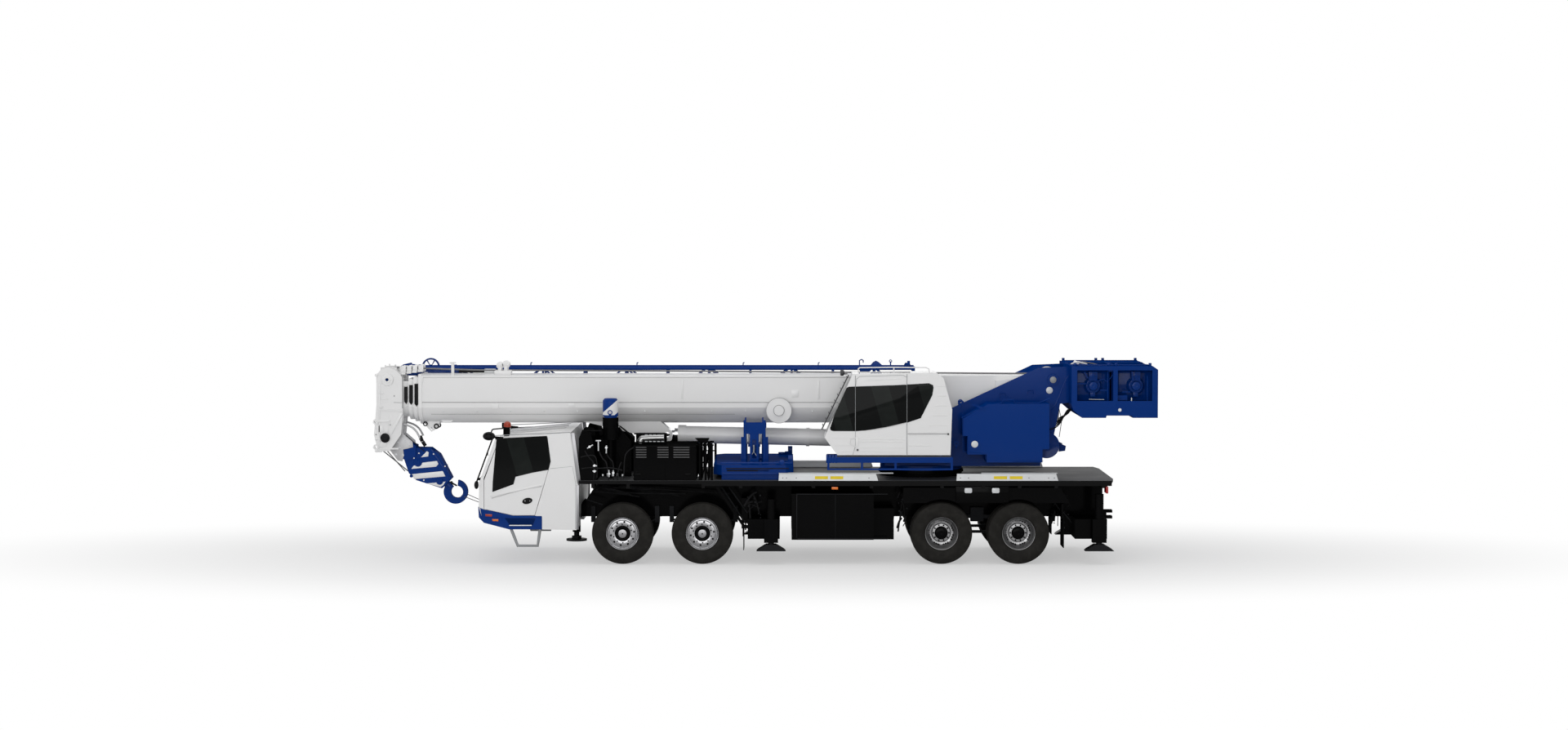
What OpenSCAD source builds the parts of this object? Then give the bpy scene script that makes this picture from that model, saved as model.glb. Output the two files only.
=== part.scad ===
// Four-axle truck crane with a telescopic boom, parked for the road.
// The front points to -X, the driver's side to -Y, the ground is Z = 0
// and X = 0 is the middle of the overall length.

/* [Carrier] */
// Width over the deck edges
deck_w = 2980; // [2940:10:3020]
// Height of the deck surface
deck_z = 1535; // [1520:5:1550]
// Thickness of the deck plate
deck_t = 48; // [30:2:60]
// Depth of the deck's edge girders
edge_h = 95; // [70:5:110]
// Width over the main frame rails
frame_w = 900; // [840:10:940]
// Height of the top of the frame
frame_z1 = 1400; // [1390:5:1410]
// Height of the frame's underside
frame_z0 = 780; // [760:5:800]
// Thickness of the frame's plates
frame_t = 40; // [25:1:45]
// Rear end of the frame
frame_x1 = 6290; // [6285:5:6320]

/* [Wheels] */
// Diameter of a tyre
tyre_d = 1125; // [1100:5:1140]
// Width of a tyre
tyre_w = 312; // [290:2:318]
// Diameter over the rim's flanges
rim_d = 596; // [580:2:604]
// Gap between twin tyres
twin_gap = 40; // [30:2:50]
// Distance from the middle of the carrier to the outer face of a tyre
tyre_out = 1420; // [1400:5:1440]
// First axle, along the carrier
axle_1_x = -2540; // [-2550:5:-2530]
// Second axle, along the carrier
axle_2_x = -1090; // [-1100:5:-1080]
// Third axle, along the carrier
axle_3_x = 3260; // [3250:5:3270]
// Fourth axle, along the carrier
axle_4_x = 4660; // [4650:5:4670]
// Diameter of the wheel spindles
spindle_d = 118; // [100:2:124]
// Distance from the middle of the carrier to a kingpin
kingpin_y = 985; // [980:1:990]
// Diameter of the kingpins
kingpin_d = 50; // [40:1:60]

/* [Outriggers] */
// Width of an outrigger beam
beam_w = 255; // [240:1:260]
// Height of an outrigger beam
beam_h = 300; // [280:5:310]
// Wall of the outrigger box
box_t = 25; // [15:1:28]
// Middle of the front outrigger box, along the carrier
outrigger_1_x = 25; // [15:5:35]
// Middle of the rear outrigger box, along the carrier
outrigger_2_x = 5990; // [5980:5:6000]
// Underside of the outrigger beams
beam_z = 480; // [475:5:490]
// Diameter of the jack's ram
ram_d = 110; // [100:1:120]
// Height of the feet above the ground on the road
foot_z = 250; // [230:5:260]
// Length of a foot
foot_len = 530; // [480:10:540]

/* [Carrier cab] */
// Width of the carrier cab
cab_w = 2790; // [2770:5:2800]
// Thickness of the cab's walls and doors
cab_t = 40; // [30:1:46]
// Gap round the doors
door_gap = 8; // [7:0.5:10]
// Diameter of the door hinge pins
hinge_d = 14; // [12:1:15]

/* [Superstructure] */
// Slewing centre, along the carrier
slew_x = 2950; // [2940:5:2960]
// Outer radius of the slewing ring
ring_r = 760; // [740:5:770]
// Underside of the superstructure
super_z = 1690; // [1680:5:1700]
// Distance between the superstructure's main plates
main_gap = 1120; // [1100:5:1130]
// Thickness of the main plates
main_t = 70; // [50:1:80]
// Diameter of the boom foot pin
foot_pin_d = 150; // [130:2:160]
// Width of the winch frame
winch_w = 2200; // [2160:10:2240]

/* [Boom] */
// Width of the boom's base section
boom_w = 860; // [840:5:864]
// Height of the boom's top plate above the ground
boom_z = 3390; // [3385:1:3395]
// Radius of the boom's round belly
belly_r = 455; // [450:1:460]
// Plate thickness of the boom sections
boom_t = 12; // [10:0.5:14]
// Step in size from one section to the next
boom_step = 38; // [34:1:40]
// Diameter of the luffing cylinder's barrel
barrel_d = 316; // [300:2:324]
// Diameter of the luffing cylinder's rod
rod_d = 230; // [210:2:240]
// Radius of the head's sheaves
sheave_r = 235; // [220:5:240]

/* [Hidden] */
$fn = 48;
fit = 0.3;
slack = 5;
axle_z = tyre_d / 2;
frame_y = frame_w / 2;
deck_y = deck_w / 2;
jack_y = deck_y - 130;
box_y = jack_y - 110;
deck_x0 = -3330;
deck_x1 = 6336;
FRONT_AXLES = [axle_1_x, axle_2_x];
REAR_AXLES = [axle_3_x, axle_4_x];
front_tyre_y = tyre_out - tyre_w / 2;
rear_tyre_y = tyre_out - tyre_w - twin_gap / 2;
cab_y = cab_w / 2;
hinge_x = -5034;
hinge_y = cab_y - 10;
foot_pin = [5346, 3322];
cylinder_pin = [3898, 2154];
rod_eye = [-1780, 2276];
luff_angle = atan2(rod_eye[1] - cylinder_pin[1], cylinder_pin[0] - rod_eye[0]);
luff_len = norm(cylinder_pin - rod_eye);
rod_out = 200;
barrel_len = luff_len - rod_out;
eye_half = rod_d / 2 + 2;
boom_y = boom_w / 2;
belly_z = boom_z - 444;
base_x0 = -6361;
base_x1 = 5500;
collar_len = 62;
hook_pivot = [-6990, 2230];
hook_tilt = 39.34;
hook_u = 1628;
plate_y = main_gap / 2;

// An outline in X and Z, given thickness from y0 to y1
module slab(y0, y1) {
  translate([0, y1, 0]) rotate([90, 0, 0]) linear_extrude(y1 - y0) children();
}

module block(x, y, z) {
  translate([x[0], y[0], z[0]]) cube([x[1] - x[0], y[1] - y[0], z[1] - z[0]]);
}

module both() {
  children();
  mirror([0, 1, 0]) children();
}

// A round bar across the carrier, at a place in X and Z
module cross_bar(place, r, y0, y1) {
  translate([place[0], y1, place[1]]) rotate([90, 0, 0]) cylinder(r = r, h = y1 - y0);
}

module post(x, y, r, z0, z1) {
  translate([x, y, z0]) cylinder(r = r, h = z1 - z0);
}

// Carrier

module frame_outline() {
  polygon([[-4560, 640], [-3560, 640], [-3330, frame_z0], [frame_x1, frame_z0],
    [frame_x1, frame_z1], [-3060, frame_z1], [-3325, 1000], [-4560, 1000]]);
}

// Place of the left or right beam in its box: the beams lie side by side
function beam_x(x, side) = side * (beam_w / 2 + 7) + x;
box_half = beam_w + 7 + slack + box_t;

module outrigger_box(x) {
  difference() {
    block([x - box_half, x + box_half], [-box_y, box_y], [beam_z - slack - box_t,
      beam_z + beam_h + slack + box_t]);
    for (side = [-1, 1])
      block([beam_x(x, side) - beam_w / 2 - slack, beam_x(x, side) + beam_w / 2 + slack],
        [side > 0 ? -box_y - 50 : 50 - box_y, side > 0 ? box_y - 50 : box_y + 50],
        [beam_z - slack, beam_z + beam_h + slack]);
  }
  // Wear pads on which the beams slide
  for (side = [-1, 1]) for (y = [100 - box_y, box_y - 80]) {
    block([beam_x(x, side) - beam_w / 2 + 20, beam_x(x, side) + beam_w / 2 - 20],
      [side * y - 60, side * y + 60], [beam_z - slack - 1, beam_z - fit]);
  }
}

module chassis() {
  color("#17181a") {
    difference() {
      union() {
        both() slab(frame_y - frame_t, frame_y) frame_outline();
        slab(-frame_y + 1, frame_y - 1) intersection() {
          frame_outline();
          union() {
            translate([-3200, frame_z1 - frame_t]) square([800, frame_t]);
            translate([-1100, frame_z1 - frame_t]) square([frame_x1 + 1100, frame_t]);
            translate([-3100, frame_z0]) square([frame_x1 + 3100, frame_t]);
            translate([-4560, 640]) square([1000, frame_t]);
            for (x = [-4560, -3500, -2450, -1150, 900, 2000, 3900, 5300, frame_x1 - frame_t])
              translate([x, 600]) square([frame_t, 850]);
          }
        }
      }
      // The engine bay and the front jack's way stay open
      block([-2400, -1160], [-frame_y + frame_t, frame_y - frame_t], [700, 1500]);
      for (x = [outrigger_1_x, outrigger_2_x])
        block([x - box_half + 1, x + box_half - 1], [-600, 600], [700, beam_z + beam_h + slack + 1]);
      post(-3480, 0, 74, 500, 1000);
    }
    for (x = [outrigger_1_x, outrigger_2_x]) outrigger_box(x);
    // Rubber mounts below the cab
    both() for (x = [-4400, -3700]) post(x, frame_y - 50, 45, 999, 1010);
    // Front jack's tube on its cross member
    difference() {
      union() {
        post(-3480, 0, 75, 444, 1005);
        block([-3560, -3400], [-frame_y + 1, frame_y - 1], [860, 900]);
      }
      post(-3480, 0, 50, 400, 990);
    }
    // Rear coupling
    difference() {
      block([frame_x1 - 1, 6520], [-90, 90], [700, 860]);
      block([6410, 6540], [-100, 100], [750, 810]);
      post(6460, 0, 25, 600, 900);
    }
  }
}

module deck_outline() {
  difference() {
    polygon([[deck_x0, -deck_y], [deck_x1, -deck_y], [deck_x1 + 68, -1100], [deck_x1 + 68, 1100],
      [deck_x1, deck_y], [deck_x0, deck_y]]);
    translate([slew_x, 0]) circle(r = ring_r + 40);
    translate([-2400, -560]) square([1240, 1120]);
  }
}

module deck() {
  color("#1b1c1e") {
    translate([0, 0, deck_z - deck_t]) linear_extrude(deck_t) deck_outline();
    both() block([-1100, deck_x1], [deck_y - 60, deck_y], [deck_z - edge_h, deck_z - deck_t + 1]);
    both() block([deck_x0, -1099], [deck_y - 40, deck_y], [deck_z - deck_t - 12, deck_z - deck_t + 1]);
    for (x = [-3100, -2460, -1100, -420, 900, 1950, 3230, 3980, 4640, 5300, 6150])
      difference() {
        block([x, x + 60], [-deck_y + 5, deck_y - 5], [frame_z1, deck_z - deck_t + 1]);
        translate([slew_x, 0, 0]) cylinder(r = ring_r + 40, h = deck_z);
      }
  }
}

module deck_boards() {
  color("#b9bcc0") both() for (x = [[296, 2102], [3520, 5366]])
    slab(deck_y - 52, deck_y - 2)
      polygon([[x[0], deck_z], [x[1], deck_z], [x[1] - 40, deck_z + 125], [x[0] + 10, deck_z + 125]]);
}

module arch(x) {
  translate([x, axle_z]) circle(r = tyre_d / 2 + 62);
}

module fenders() {
  color("#141516") both() {
    slab(tyre_out - 40, tyre_out - 20) difference() {
      polygon([[2560, frame_z1], [5420, frame_z1], [5680, 940], [5560, 1120], [2560, 1120]]);
      for (x = REAR_AXLES) arch(x);
    }
    // Wing plates over the rear wheels, hung from the deck's ribs
    for (x = REAR_AXLES) block([x - 400, x + 400], [760, tyre_out - 41], [1200, 1212]);
    for (x = REAR_AXLES) block([x - 20, x + 20], [760, 800], [1211, frame_z1]);
    block([3980, 4040], [740, tyre_out - 41], [frame_z1 - 180, frame_z1]);
    // Mud flaps
    block([5470, 5484], [tyre_out - tyre_w - 260, tyre_out - 30], [300, 900]);
    block([5440, 5470], [tyre_out - tyre_w - 260, tyre_out - 30], [840, 900]);
    block([5440, 5470], [frame_y, tyre_out - 45], [840, 1100]);
  }
  // Flaps behind the second axle, each clear of its side's foot
  color("#141516") for (f = [[-345, -1], [-394, 1]]) mirror([0, f[1] < 0 ? 1 : 0, 0])
    block([f[0], f[0] + 14], [tyre_out - tyre_w - 260, tyre_out - 30], [260, 640]);
}

// Tyre profile in radius and width
module tyre_profile() {
  r = tyre_d / 2;
  w = tyre_w / 2;
  bead = rim_d / 2 - 6;
  polygon([[bead, -w * 0.72], [bead + 26, -w * 0.84], [bead + 88, -w * 0.97], [r - 130, -w],
    [r - 82, -w * 0.99], [r - 40, -w * 0.91], [r - 13, -w * 0.82], [r - 4, -w * 0.5], [r, 0],
    [r - 4, w * 0.5], [r - 13, w * 0.82], [r - 40, w * 0.91], [r - 82, w * 0.99],
    [r - 130, w], [bead + 88, w * 0.97], [bead + 26, w * 0.84], [bead, w * 0.72]]);
}

// A rim, its disc at the distance disc from the middle plane, open to the inside
module rim_profile(disc) {
  r = rim_d / 2;
  w = tyre_w * 0.36;
  polygon([[r - 6.5, -w - 8], [r, -w - 8], [r, -w], [r - 18, -w + 12], [r - 18, w - 12], [r, w],
    [r, w + 8], [r - 6.5, w + 8], [r - 30, w - 14], [r - 36, disc + 24], [120, disc + 12],
    [120, disc - 12], [r - 36, disc - 10], [r - 30, -w + 14]]);
}

module hub_profile(inner, outer, cap) {
  difference() {
    translate([0, inner]) square([130, outer - inner]);
    translate([-1, inner - 1]) square([spindle_d / 2 + 1 + fit, outer - inner - 29]);
  }
  translate([0, outer - 1]) square([cap, 26]);
}

module steer_wheel_body() {
  rotate_extrude($fn = 96) {
    tyre_profile();
    rim_profile(84);
    hub_profile(-40, 100, 85);
  }
}

module twin_wheel_body() {
  pitch = (tyre_w + twin_gap) / 2;
  rotate_extrude($fn = 96) {
    translate([0, pitch]) tyre_profile();
    translate([0, -pitch]) tyre_profile();
    translate([0, pitch]) rim_profile(-90);
    translate([0, -pitch]) mirror([0, 1]) rim_profile(-90);
    translate([118, -pitch + 78]) square([60, 2 * pitch - 156]);
    hub_profile(-260, 230, 110);
  }
}

module wheel(x, side, front) {
  color("#26241f") translate([x, side * (front ? front_tyre_y : rear_tyre_y), axle_z])
    rotate([-90 * side, 0, 0]) if (front) steer_wheel_body(); else twin_wheel_body();
}

// Stub axle on its kingpin
module knuckle(x, side) {
  y_in = kingpin_y + 100;
  color("#202123") translate([x, 0, 0]) mirror([0, side < 0 ? 1 : 0, 0]) {
    cross_bar([0, axle_z], spindle_d / 2, y_in, front_tyre_y + 64);
    cross_bar([0, axle_z], 150, y_in, y_in + 30);
    difference() {
      block([-70, 70], [kingpin_y - 50, y_in + 1], [axle_z - 110, axle_z + 110]);
      block([-100, 100], [kingpin_y - 90, y_in - 30], [axle_z - 52, axle_z + 52]);
    }
    post(0, kingpin_y, kingpin_d / 2, axle_z - 109, axle_z + 109);
    // Steering arm
    slab(kingpin_y - 50, kingpin_y - 10)
      polygon([[0, axle_z - 109], [190, axle_z - 60], [190, axle_z - 90], [0, axle_z - 130]]);
  }
}

module steer_axle(x) {
  translate([x, 0, 0]) {
    difference() {
      union() {
        block([-55, 55], [-700, 700], [axle_z - 120, axle_z - 10]);
        both() block([-50, 50], [660, kingpin_y], [axle_z - 45, axle_z + 45]);
        both() block([-50, 50], [640, 720], [axle_z - 120, axle_z + 45]);
        both() post(0, kingpin_y, 60, axle_z - 45, axle_z + 45);
      }
      both() post(0, kingpin_y, kingpin_d / 2 + fit, axle_z - 60, axle_z + 60);
      both() block([-80, 80], [kingpin_y - 14, kingpin_y + 20], [0, axle_z - 44.9]);
    }
    both() leaf_spring(590, axle_z - 11, 85);
    both() for (s = [-590, 590]) block([s - 40, s + 40], [frame_y, frame_y + 95],
      [axle_z + 120, axle_z + 420]);
  }
}

// A pack of spring leaves that rises to its two ends
module leaf_spring(half, seat, width) {
  rise = 190;
  slab(frame_y + 5, frame_y + 5 + width) polygon(concat(
    [for (i = [-6:6]) [half * i / 6, seat + rise * pow(i / 6, 2)]],
    [for (i = [6:-1:-6]) [half * i / 6, seat + 22 + rise * pow(i / 6, 2) + 62 * (1 - abs(i) / 6)]]));
}

module drive_axle(x) {
  translate([x, 0, 0]) {
    cross_bar([0, axle_z], spindle_d / 2, -rear_tyre_y - 190, rear_tyre_y + 190);
    cross_bar([0, axle_z], 85, -740, 740);
    translate([0, 0, axle_z]) sphere(r = 215);
    cross_bar([0, axle_z], 150, -130, 130);
  }
}

module axles_front() {
  color("#1d1e20") for (x = FRONT_AXLES) steer_axle(x);
}

module axles_rear() {
  mid = (axle_3_x + axle_4_x) / 2;
  half = (axle_4_x - axle_3_x) / 2;
  color("#1d1e20") {
    for (x = REAR_AXLES) drive_axle(x);
    both() translate([mid, 0, 0]) {
      slab(frame_y + 5, frame_y + 100) polygon(concat(
        [for (i = [-6:6]) [(half + 60) * i / 6, 830 - 190 * pow(i / 6, 2)]],
        [for (i = [6:-1:-6]) [(half + 60) * i / 6, 762 - 190 * pow(i / 6, 2) + 40 * pow(i / 6, 2)]]));
      block([-120, 120], [frame_y, frame_y + 130], [700, 960]);
      // Torque rods
      slab(frame_y + 30, frame_y + 80) polygon([[-half, 480], [half, 480], [half, 530], [-half, 530]]);
      for (s = [-1, 1]) block([s * half - 50, s * half + 50], [frame_y + 6, frame_y + 99], [500, 620]);
    }
  }
}

module engine_block() {
  color("#3a3b3d") {
    block([-2300, -1250], [-380, 380], [860, 1900]);
    // Mounts on the frame rails
    for (x = [-2150, -1500]) block([x, x + 120], [-frame_y + frame_t + fit, frame_y - frame_t - fit],
      [900, 970]);
  }
}

module engine_housing() {
  top = 2175;
  color("#101112") {
    difference() {
      union() {
        both() block([-2335, -1195], [420, tyre_out], [deck_z, top]);
        block([-2335, -1195], [-430, 430], [deck_z, 2030]);
        block([-2335, -1770], [-575, -430], [top - 1, 2330]);
      }
      block([-2315, -1215], [-tyre_out + 20, tyre_out - 20], [deck_z - 1, 2000]);
      // Louvres on both sides
      both() for (p = [[-2290, -2100], [-1900, -1700], [-1610, -1320]]) for (k = [0:4])
        block(p, [tyre_out - 21, tyre_out + 1], [1945 + 45 * k, 1963 + 45 * k]);
    }
  }
}

module exhaust_pipe() {
  r = 50;
  bend = 62;
  color("#8f9193") translate([-2262, -640, 2175 + fit]) {
    translate([bend, 0, 0]) rotate([90, 0, 0]) rotate([0, 0, 90])
      rotate_extrude(angle = 90) translate([bend, 0]) circle(r = r);
    translate([bend, 0, bend]) rotate([0, 90, 0]) cylinder(r = r, h = 375);
  }
}

module deck_stands() {
  color("#121314") {
    // Wall of equipment behind the cab
    both() slab(430, 1400) polygon([[deck_x0 + 4, deck_z], [-3000, deck_z], [-3060, 2180], [-3120, 2420],
      [deck_x0 + 60, 2440], [deck_x0 + 4, 2300]]);
    block([deck_x0 + 4, -3000], [-431, 431], [deck_z, 2050]);
    // Stand of the stowed hook
    post(-2776, -1000, 55, deck_z, 2260);
    difference() {
      post(-2776, -1000, 145, 2250, 2650);
      post(-2776, -1000, 130, 2300, 2700);
    }
    both() slab(560, 600) polygon([[-3001, deck_z], [-2420, deck_z], [-2420, 2180], [-2640, 2450],
      [-3061, 2200]]);
    // Rest under the boom
    for (y = [-900, 860]) for (x = [-1130, -1000]) block([x, x + 40], [y, y + 40], [deck_z, 2190]);
    both() block([-1190, -890], [820, 960], [2190, 2210]);
    both() block([-1130, -960], [861, 899], [1800, 1830]);
  }
}

module stowed_hook() {
  color("#1f4aa0") translate([-2776, -1000, 0]) {
    post(0, 0, 120, 2300, 2600);
    post(0, 0, 118, 2599, 2674);
    post(0, 0, 143, 2673, 2960);
    translate([0, 0, 2959]) cylinder(r1 = 143, r2 = 108, h = 45);
  }
}

module counterweight() {
  top = 1805;
  color("#123f94") {
    difference() {
      union() {
        translate([0, 0, deck_z]) linear_extrude(90) polygon([[-740, -1280], [540, -1280],
          [540, 1280], [-740, 1280]]);
        translate([0, 0, deck_z + 89]) linear_extrude(top - deck_z - 89)
          polygon([[-740, -1300], [430, -1300], [567, -1180], [567, 1180], [430, 1300], [-740, 1300],
            [-889, 1120], [-889, -1120]]);
      }
      both() block([-640, 120], [1240, 1301], [1690, 1722]);
      block([-60, 60], [-200, 200], [deck_z - 1, top + 1]);
    }
    both() for (x = [-345, 15]) block([x, x + 45], [930, 1020], [top - 1, 2600]);
    both() for (x = [-390, 45]) block([x, x + 60], [920, 1000], [top - 1, 2290]);
    both() block([-301, 16], [940, 1010], [2350, 2560]);
    both() difference() {
      block([-230, -70], [945, 1015], [top - 1, 2351]);
      block([-190, -110], [900, 1100], [1900, 2250]);
    }
    both() post(470, 1050, 60, top - 1, top + 60);
  }
}

module side_boxes() {
  color("#131415") {
    both() block([533, 2025], [frame_y, tyre_out - 40], [447, 1259]);
    both() block([2026, 2400], [frame_y, 1150], [430, 1000]);
    both() block([-380, outrigger_1_x - box_half], [frame_y, 1100], [720, 1180]);
    both() block([525, 2033], [1000, tyre_out - 30], [1258, 1290]);
    // Braces below the deck
    both() slab(1180, 1210) polygon([[-860, frame_z1], [-800, frame_z1], [-320, 699], [-380, 699]]);
    both() block([-380, outrigger_1_x - box_half], [1180, 1240], [640, 700]);
  }
}

module carrier_lamps() {
  color("#c9701a") {
    both() block([1370, 1450], [deck_y - 59, deck_y - 1], [1405, deck_z - edge_h]);
    both() block([deck_x1 - 60, deck_x1 - 12], [deck_y - 170, deck_y - 10], [1330, deck_z - edge_h]);
    both() for (x = [3740, 4300]) block([x, x + 90], [tyre_out - 20, tyre_out + 5], [1330, 1370]);
  }
}

// Carrier cab, full width

CAB_SIDE = [[-4850, 2275], [-5138, 1502], [-5150, 1064], [-5101, 880], [-4560, 866], [-4128, 866],
  [-4000, 866], [-4000, 640], [-3376, 627], [-3340, 1463], [-3480, 2400], [-3560, 2402]];
CAB_INSIDE = [[-4865, 2225], [-5085, 1510], [-5100, 1064], [-5060, 1050], [-3960, 1050], [-3960, 2320]];
DOOR_SIDE = [[-4790, 2235], [-5050, 1530], [-5050, 1010], [-4985, 1000], [-4530, 900], [-4136, 900],
  [-3888, 1715], [-3850, 1861], [-3900, 2310]];
SIDE_WINDOW = [[-4770, 2180], [-4850, 1690], [-4868, 1345], [-4545, 1455], [-4490, 1605], [-3925, 1730],
  [-3900, 1861], [-3940, 2262]];

module carrier_cab() {
  color("#e9e9e7") difference() {
    slab(-cab_y, cab_y) polygon(CAB_SIDE);
    slab(-cab_y + cab_t, cab_y - cab_t) polygon(CAB_INSIDE);
    // Rear hollow over the frame
    block([-5200, -3300], [-frame_y - 10, frame_y + 10], [600, 1010]);
    both() slab(cab_y - cab_t - 6, cab_y + 1) door_opening();
    // Windscreen
    slab(-cab_y + 90, cab_y - 90)
      polygon([[-4800, 2150], [-5000, 1560], [-5220, 1560], [-4960, 2150]]);
    // Holes of the hinge pins
    both() post(hinge_x, hinge_y, hinge_d / 2 + fit, 960, 1600);
  }
}

// The door's outline and the opening, one gap larger, as plain offsets of each side
module door_opening() {
  g = door_gap;
  polygon([[-4790 - 3, 2235 + g], [-5050 - g, 1565], [-5050 - g, 1010 - g], [-4985 - 1, 1000 - g],
    [-4530, 900 - g], [-4136 + g, 900 - g], [-3888 + g, 1715], [-3850 + g, 1861], [-3900 + g, 2310 + g]]);
}

module cab_door(side) {
  color("#eeeeec") mirror([0, side < 0 ? 1 : 0, 0]) {
    difference() {
      slab(cab_y - cab_t, cab_y) polygon(DOOR_SIDE);
      slab(cab_y - cab_t - 1, cab_y + 1) polygon(SIDE_WINDOW);
    }
    post(hinge_x, hinge_y, hinge_d / 2, 985, 1570);
    // Handle
    block([-4310, -4215], [cab_y - 1, cab_y + 18], [1150, 1178]);
    // Glass in its rubber, held all round
    color("#14181b") slab(cab_y - 24, cab_y - 18) polygon(SIDE_WINDOW);
  }
}

module cab_glass() {
  color("#1a2024") slab(-cab_y + 90 + fit, cab_y - 90 - fit)
    polygon([[-4872, 2149], [-5098, 1561], [-5092, 1561], [-4866, 2149]]);
}

module seat(x, y, z, back) {
  translate([x, y, z]) {
    block([-260, 240], [-240, 240], [180, 300]);
    slab(-230, 230) polygon([[200, 300], [330, 300], [330 + back, 980], [230 + back, 980]]);
    block([-150, 150], [-150, 150], [0, 181]);
  }
}

module cab_interior() {
  floor = 1050;
  color("#2b2d30") {
    for (y = [-800, 800]) seat(-4410, y, floor, 60);
    block([-5040, -4800], [-cab_y + 60, cab_y - 60], [floor, 1440]);
    // Steering wheel and its column
    translate([-4700, -800, 1560]) rotate([0, 55, 0])
      rotate_extrude($fn = 64) translate([205, 0]) circle(r = 16);
    translate([-4700, -800, 1560]) rotate([0, 55, 0]) cylinder(r = 60, h = 14);
    translate([-4700, -800, 1560]) rotate([0, 55, 0]) block([-12, 12], [-205, 205], [-8, 10]);
    translate([-4700, -800, 1560]) rotate([0, 235, 0]) cylinder(r = 26, h = 240);
  }
}

module cab_mirrors() {
  color("#17181a") both() {
    // Roof bracket with the ramp mirror
    slab(1340, 1380) polygon([[-4840, 2276.3], [-4700, 2290.1], [-4700, 2320], [-4960, 2345], [-4990, 2330],
      [-4985, 2312], [-4850, 2300]]);
    block([-5008, -4905], [1330, 1470], [2290, 2385]);
    // Bar in front of the pillar, with the small mirror
    slab(1360, 1385) polygon([[-4905, 2300], [-4880, 2300], [-5168, 1520], [-5168, 1440], [-5194, 1440],
      [-5194, 1524]]);
    slab(1360, 1385) polygon([[-5107, 1590], [-5180, 1562], [-5180, 1540], [-5129, 1531]]);
    block([-5215, -5165], [1300, 1450], [1400, 1500]);
  }
  // Beacon on the roof
  color("#d2601a") {
    post(-4676, -1000, 50, 2297.3, 2340);
    post(-4676, -1000, 62, 2339, 2480);
  }
}

module front_bumper() {
  color("#154397") {
    difference() {
      slab(-cab_y + 5, cab_y - 5) polygon([[-5160, 1050], [-5150, 860], [-5060, 760], [-4600, 640],
        [-4001, 640], [-4001, 865], [-4560, 865], [-5104, 878], [-5152, 1050]]);
      block([-5200, -3900], [-frame_y - 5, frame_y + 5], [600, 1050]);
    }
    both() step_loop();
  }
}

module step_loop() {
  slab(1300, 1330) difference() {
    polygon([[-4590, 641], [-4460, 318], [-4080, 318], [-4030, 641]]);
    polygon([[-4560, 641], [-4440, 343], [-4100, 343], [-4056, 641]]);
  }
}

// Outriggers

function out_x(row, side) = beam_x(row == 1 ? outrigger_1_x : outrigger_2_x, side < 0 ? 1 : -1);

module outrigger_beam(row, side) {
  x = out_x(row, side);
  tube_z = row == 1 ? 1190 : 1282;
  color("#161718") mirror([0, side < 0 ? 1 : 0, 0]) difference() {
    union() {
      block([x - beam_w / 2, x + beam_w / 2], [-1050, jack_y - 104], [beam_z, beam_z + beam_h]);
      block([x - beam_w / 2, x + beam_w / 2], [jack_y - 105, deck_y - 40],
        [beam_z - 80, beam_z + beam_h + 50]);
      post(x, jack_y, 78, beam_z + beam_h + 49, tube_z);
    }
    block([x - beam_w / 2 + 20, x + beam_w / 2 - 20], [-1100, jack_y - 160],
      [beam_z + 20, beam_z + beam_h - 20]);
    post(x, jack_y, ram_d / 2 + fit, 300, tube_z - 30);
  }
}

module outrigger_jack(row, side) {
  x = out_x(row, side);
  color("#1a1b1c") mirror([0, side < 0 ? 1 : 0, 0]) translate([x, jack_y, 0]) {
    post(0, 0, ram_d / 2, foot_z + 60, 1100);
    rotate([90, 0, 0]) translate([0, 0, -120]) linear_extrude(240)
      polygon([[-foot_len / 2, foot_z], [foot_len / 2, foot_z], [foot_len / 2 - 30, foot_z + 30],
        [90, foot_z + 118], [-90, foot_z + 118], [-foot_len / 2 + 30, foot_z + 30]]);
  }
}

module front_jack() {
  color("#1a1b1c") {
    post(-3480, 0, 50 - fit, 290, 980);
    post(-3480, 0, 192, 282, 317);
    post(-3480, 0, 90, 316, 370);
  }
}

// Superstructure

module slew_ring() {
  color("#1c1d1f") translate([slew_x, 0, 0]) difference() {
    union() {
      cylinder(r = ring_r, h = super_z - 40 - fit);
      translate([0, 0, super_z - 100]) cylinder(r = ring_r + 30, h = 40);
    }
    translate([0, 0, -1]) cylinder(r = ring_r - 150, h = super_z);
    translate([0, 0, -1]) cylinder(r = ring_r + 60, h = frame_z1 + 1);
  }
}

module main_plate() {
  polygon([[3476, 2793], [5078, 3540], [5640, 3563], [5640, 2900], [5480, 2878], [5330, 2100],
    [5120, 1850], [4300, 1771], [2250, 1771], [2250, 1990], [3300, 2060]]);
}

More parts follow.
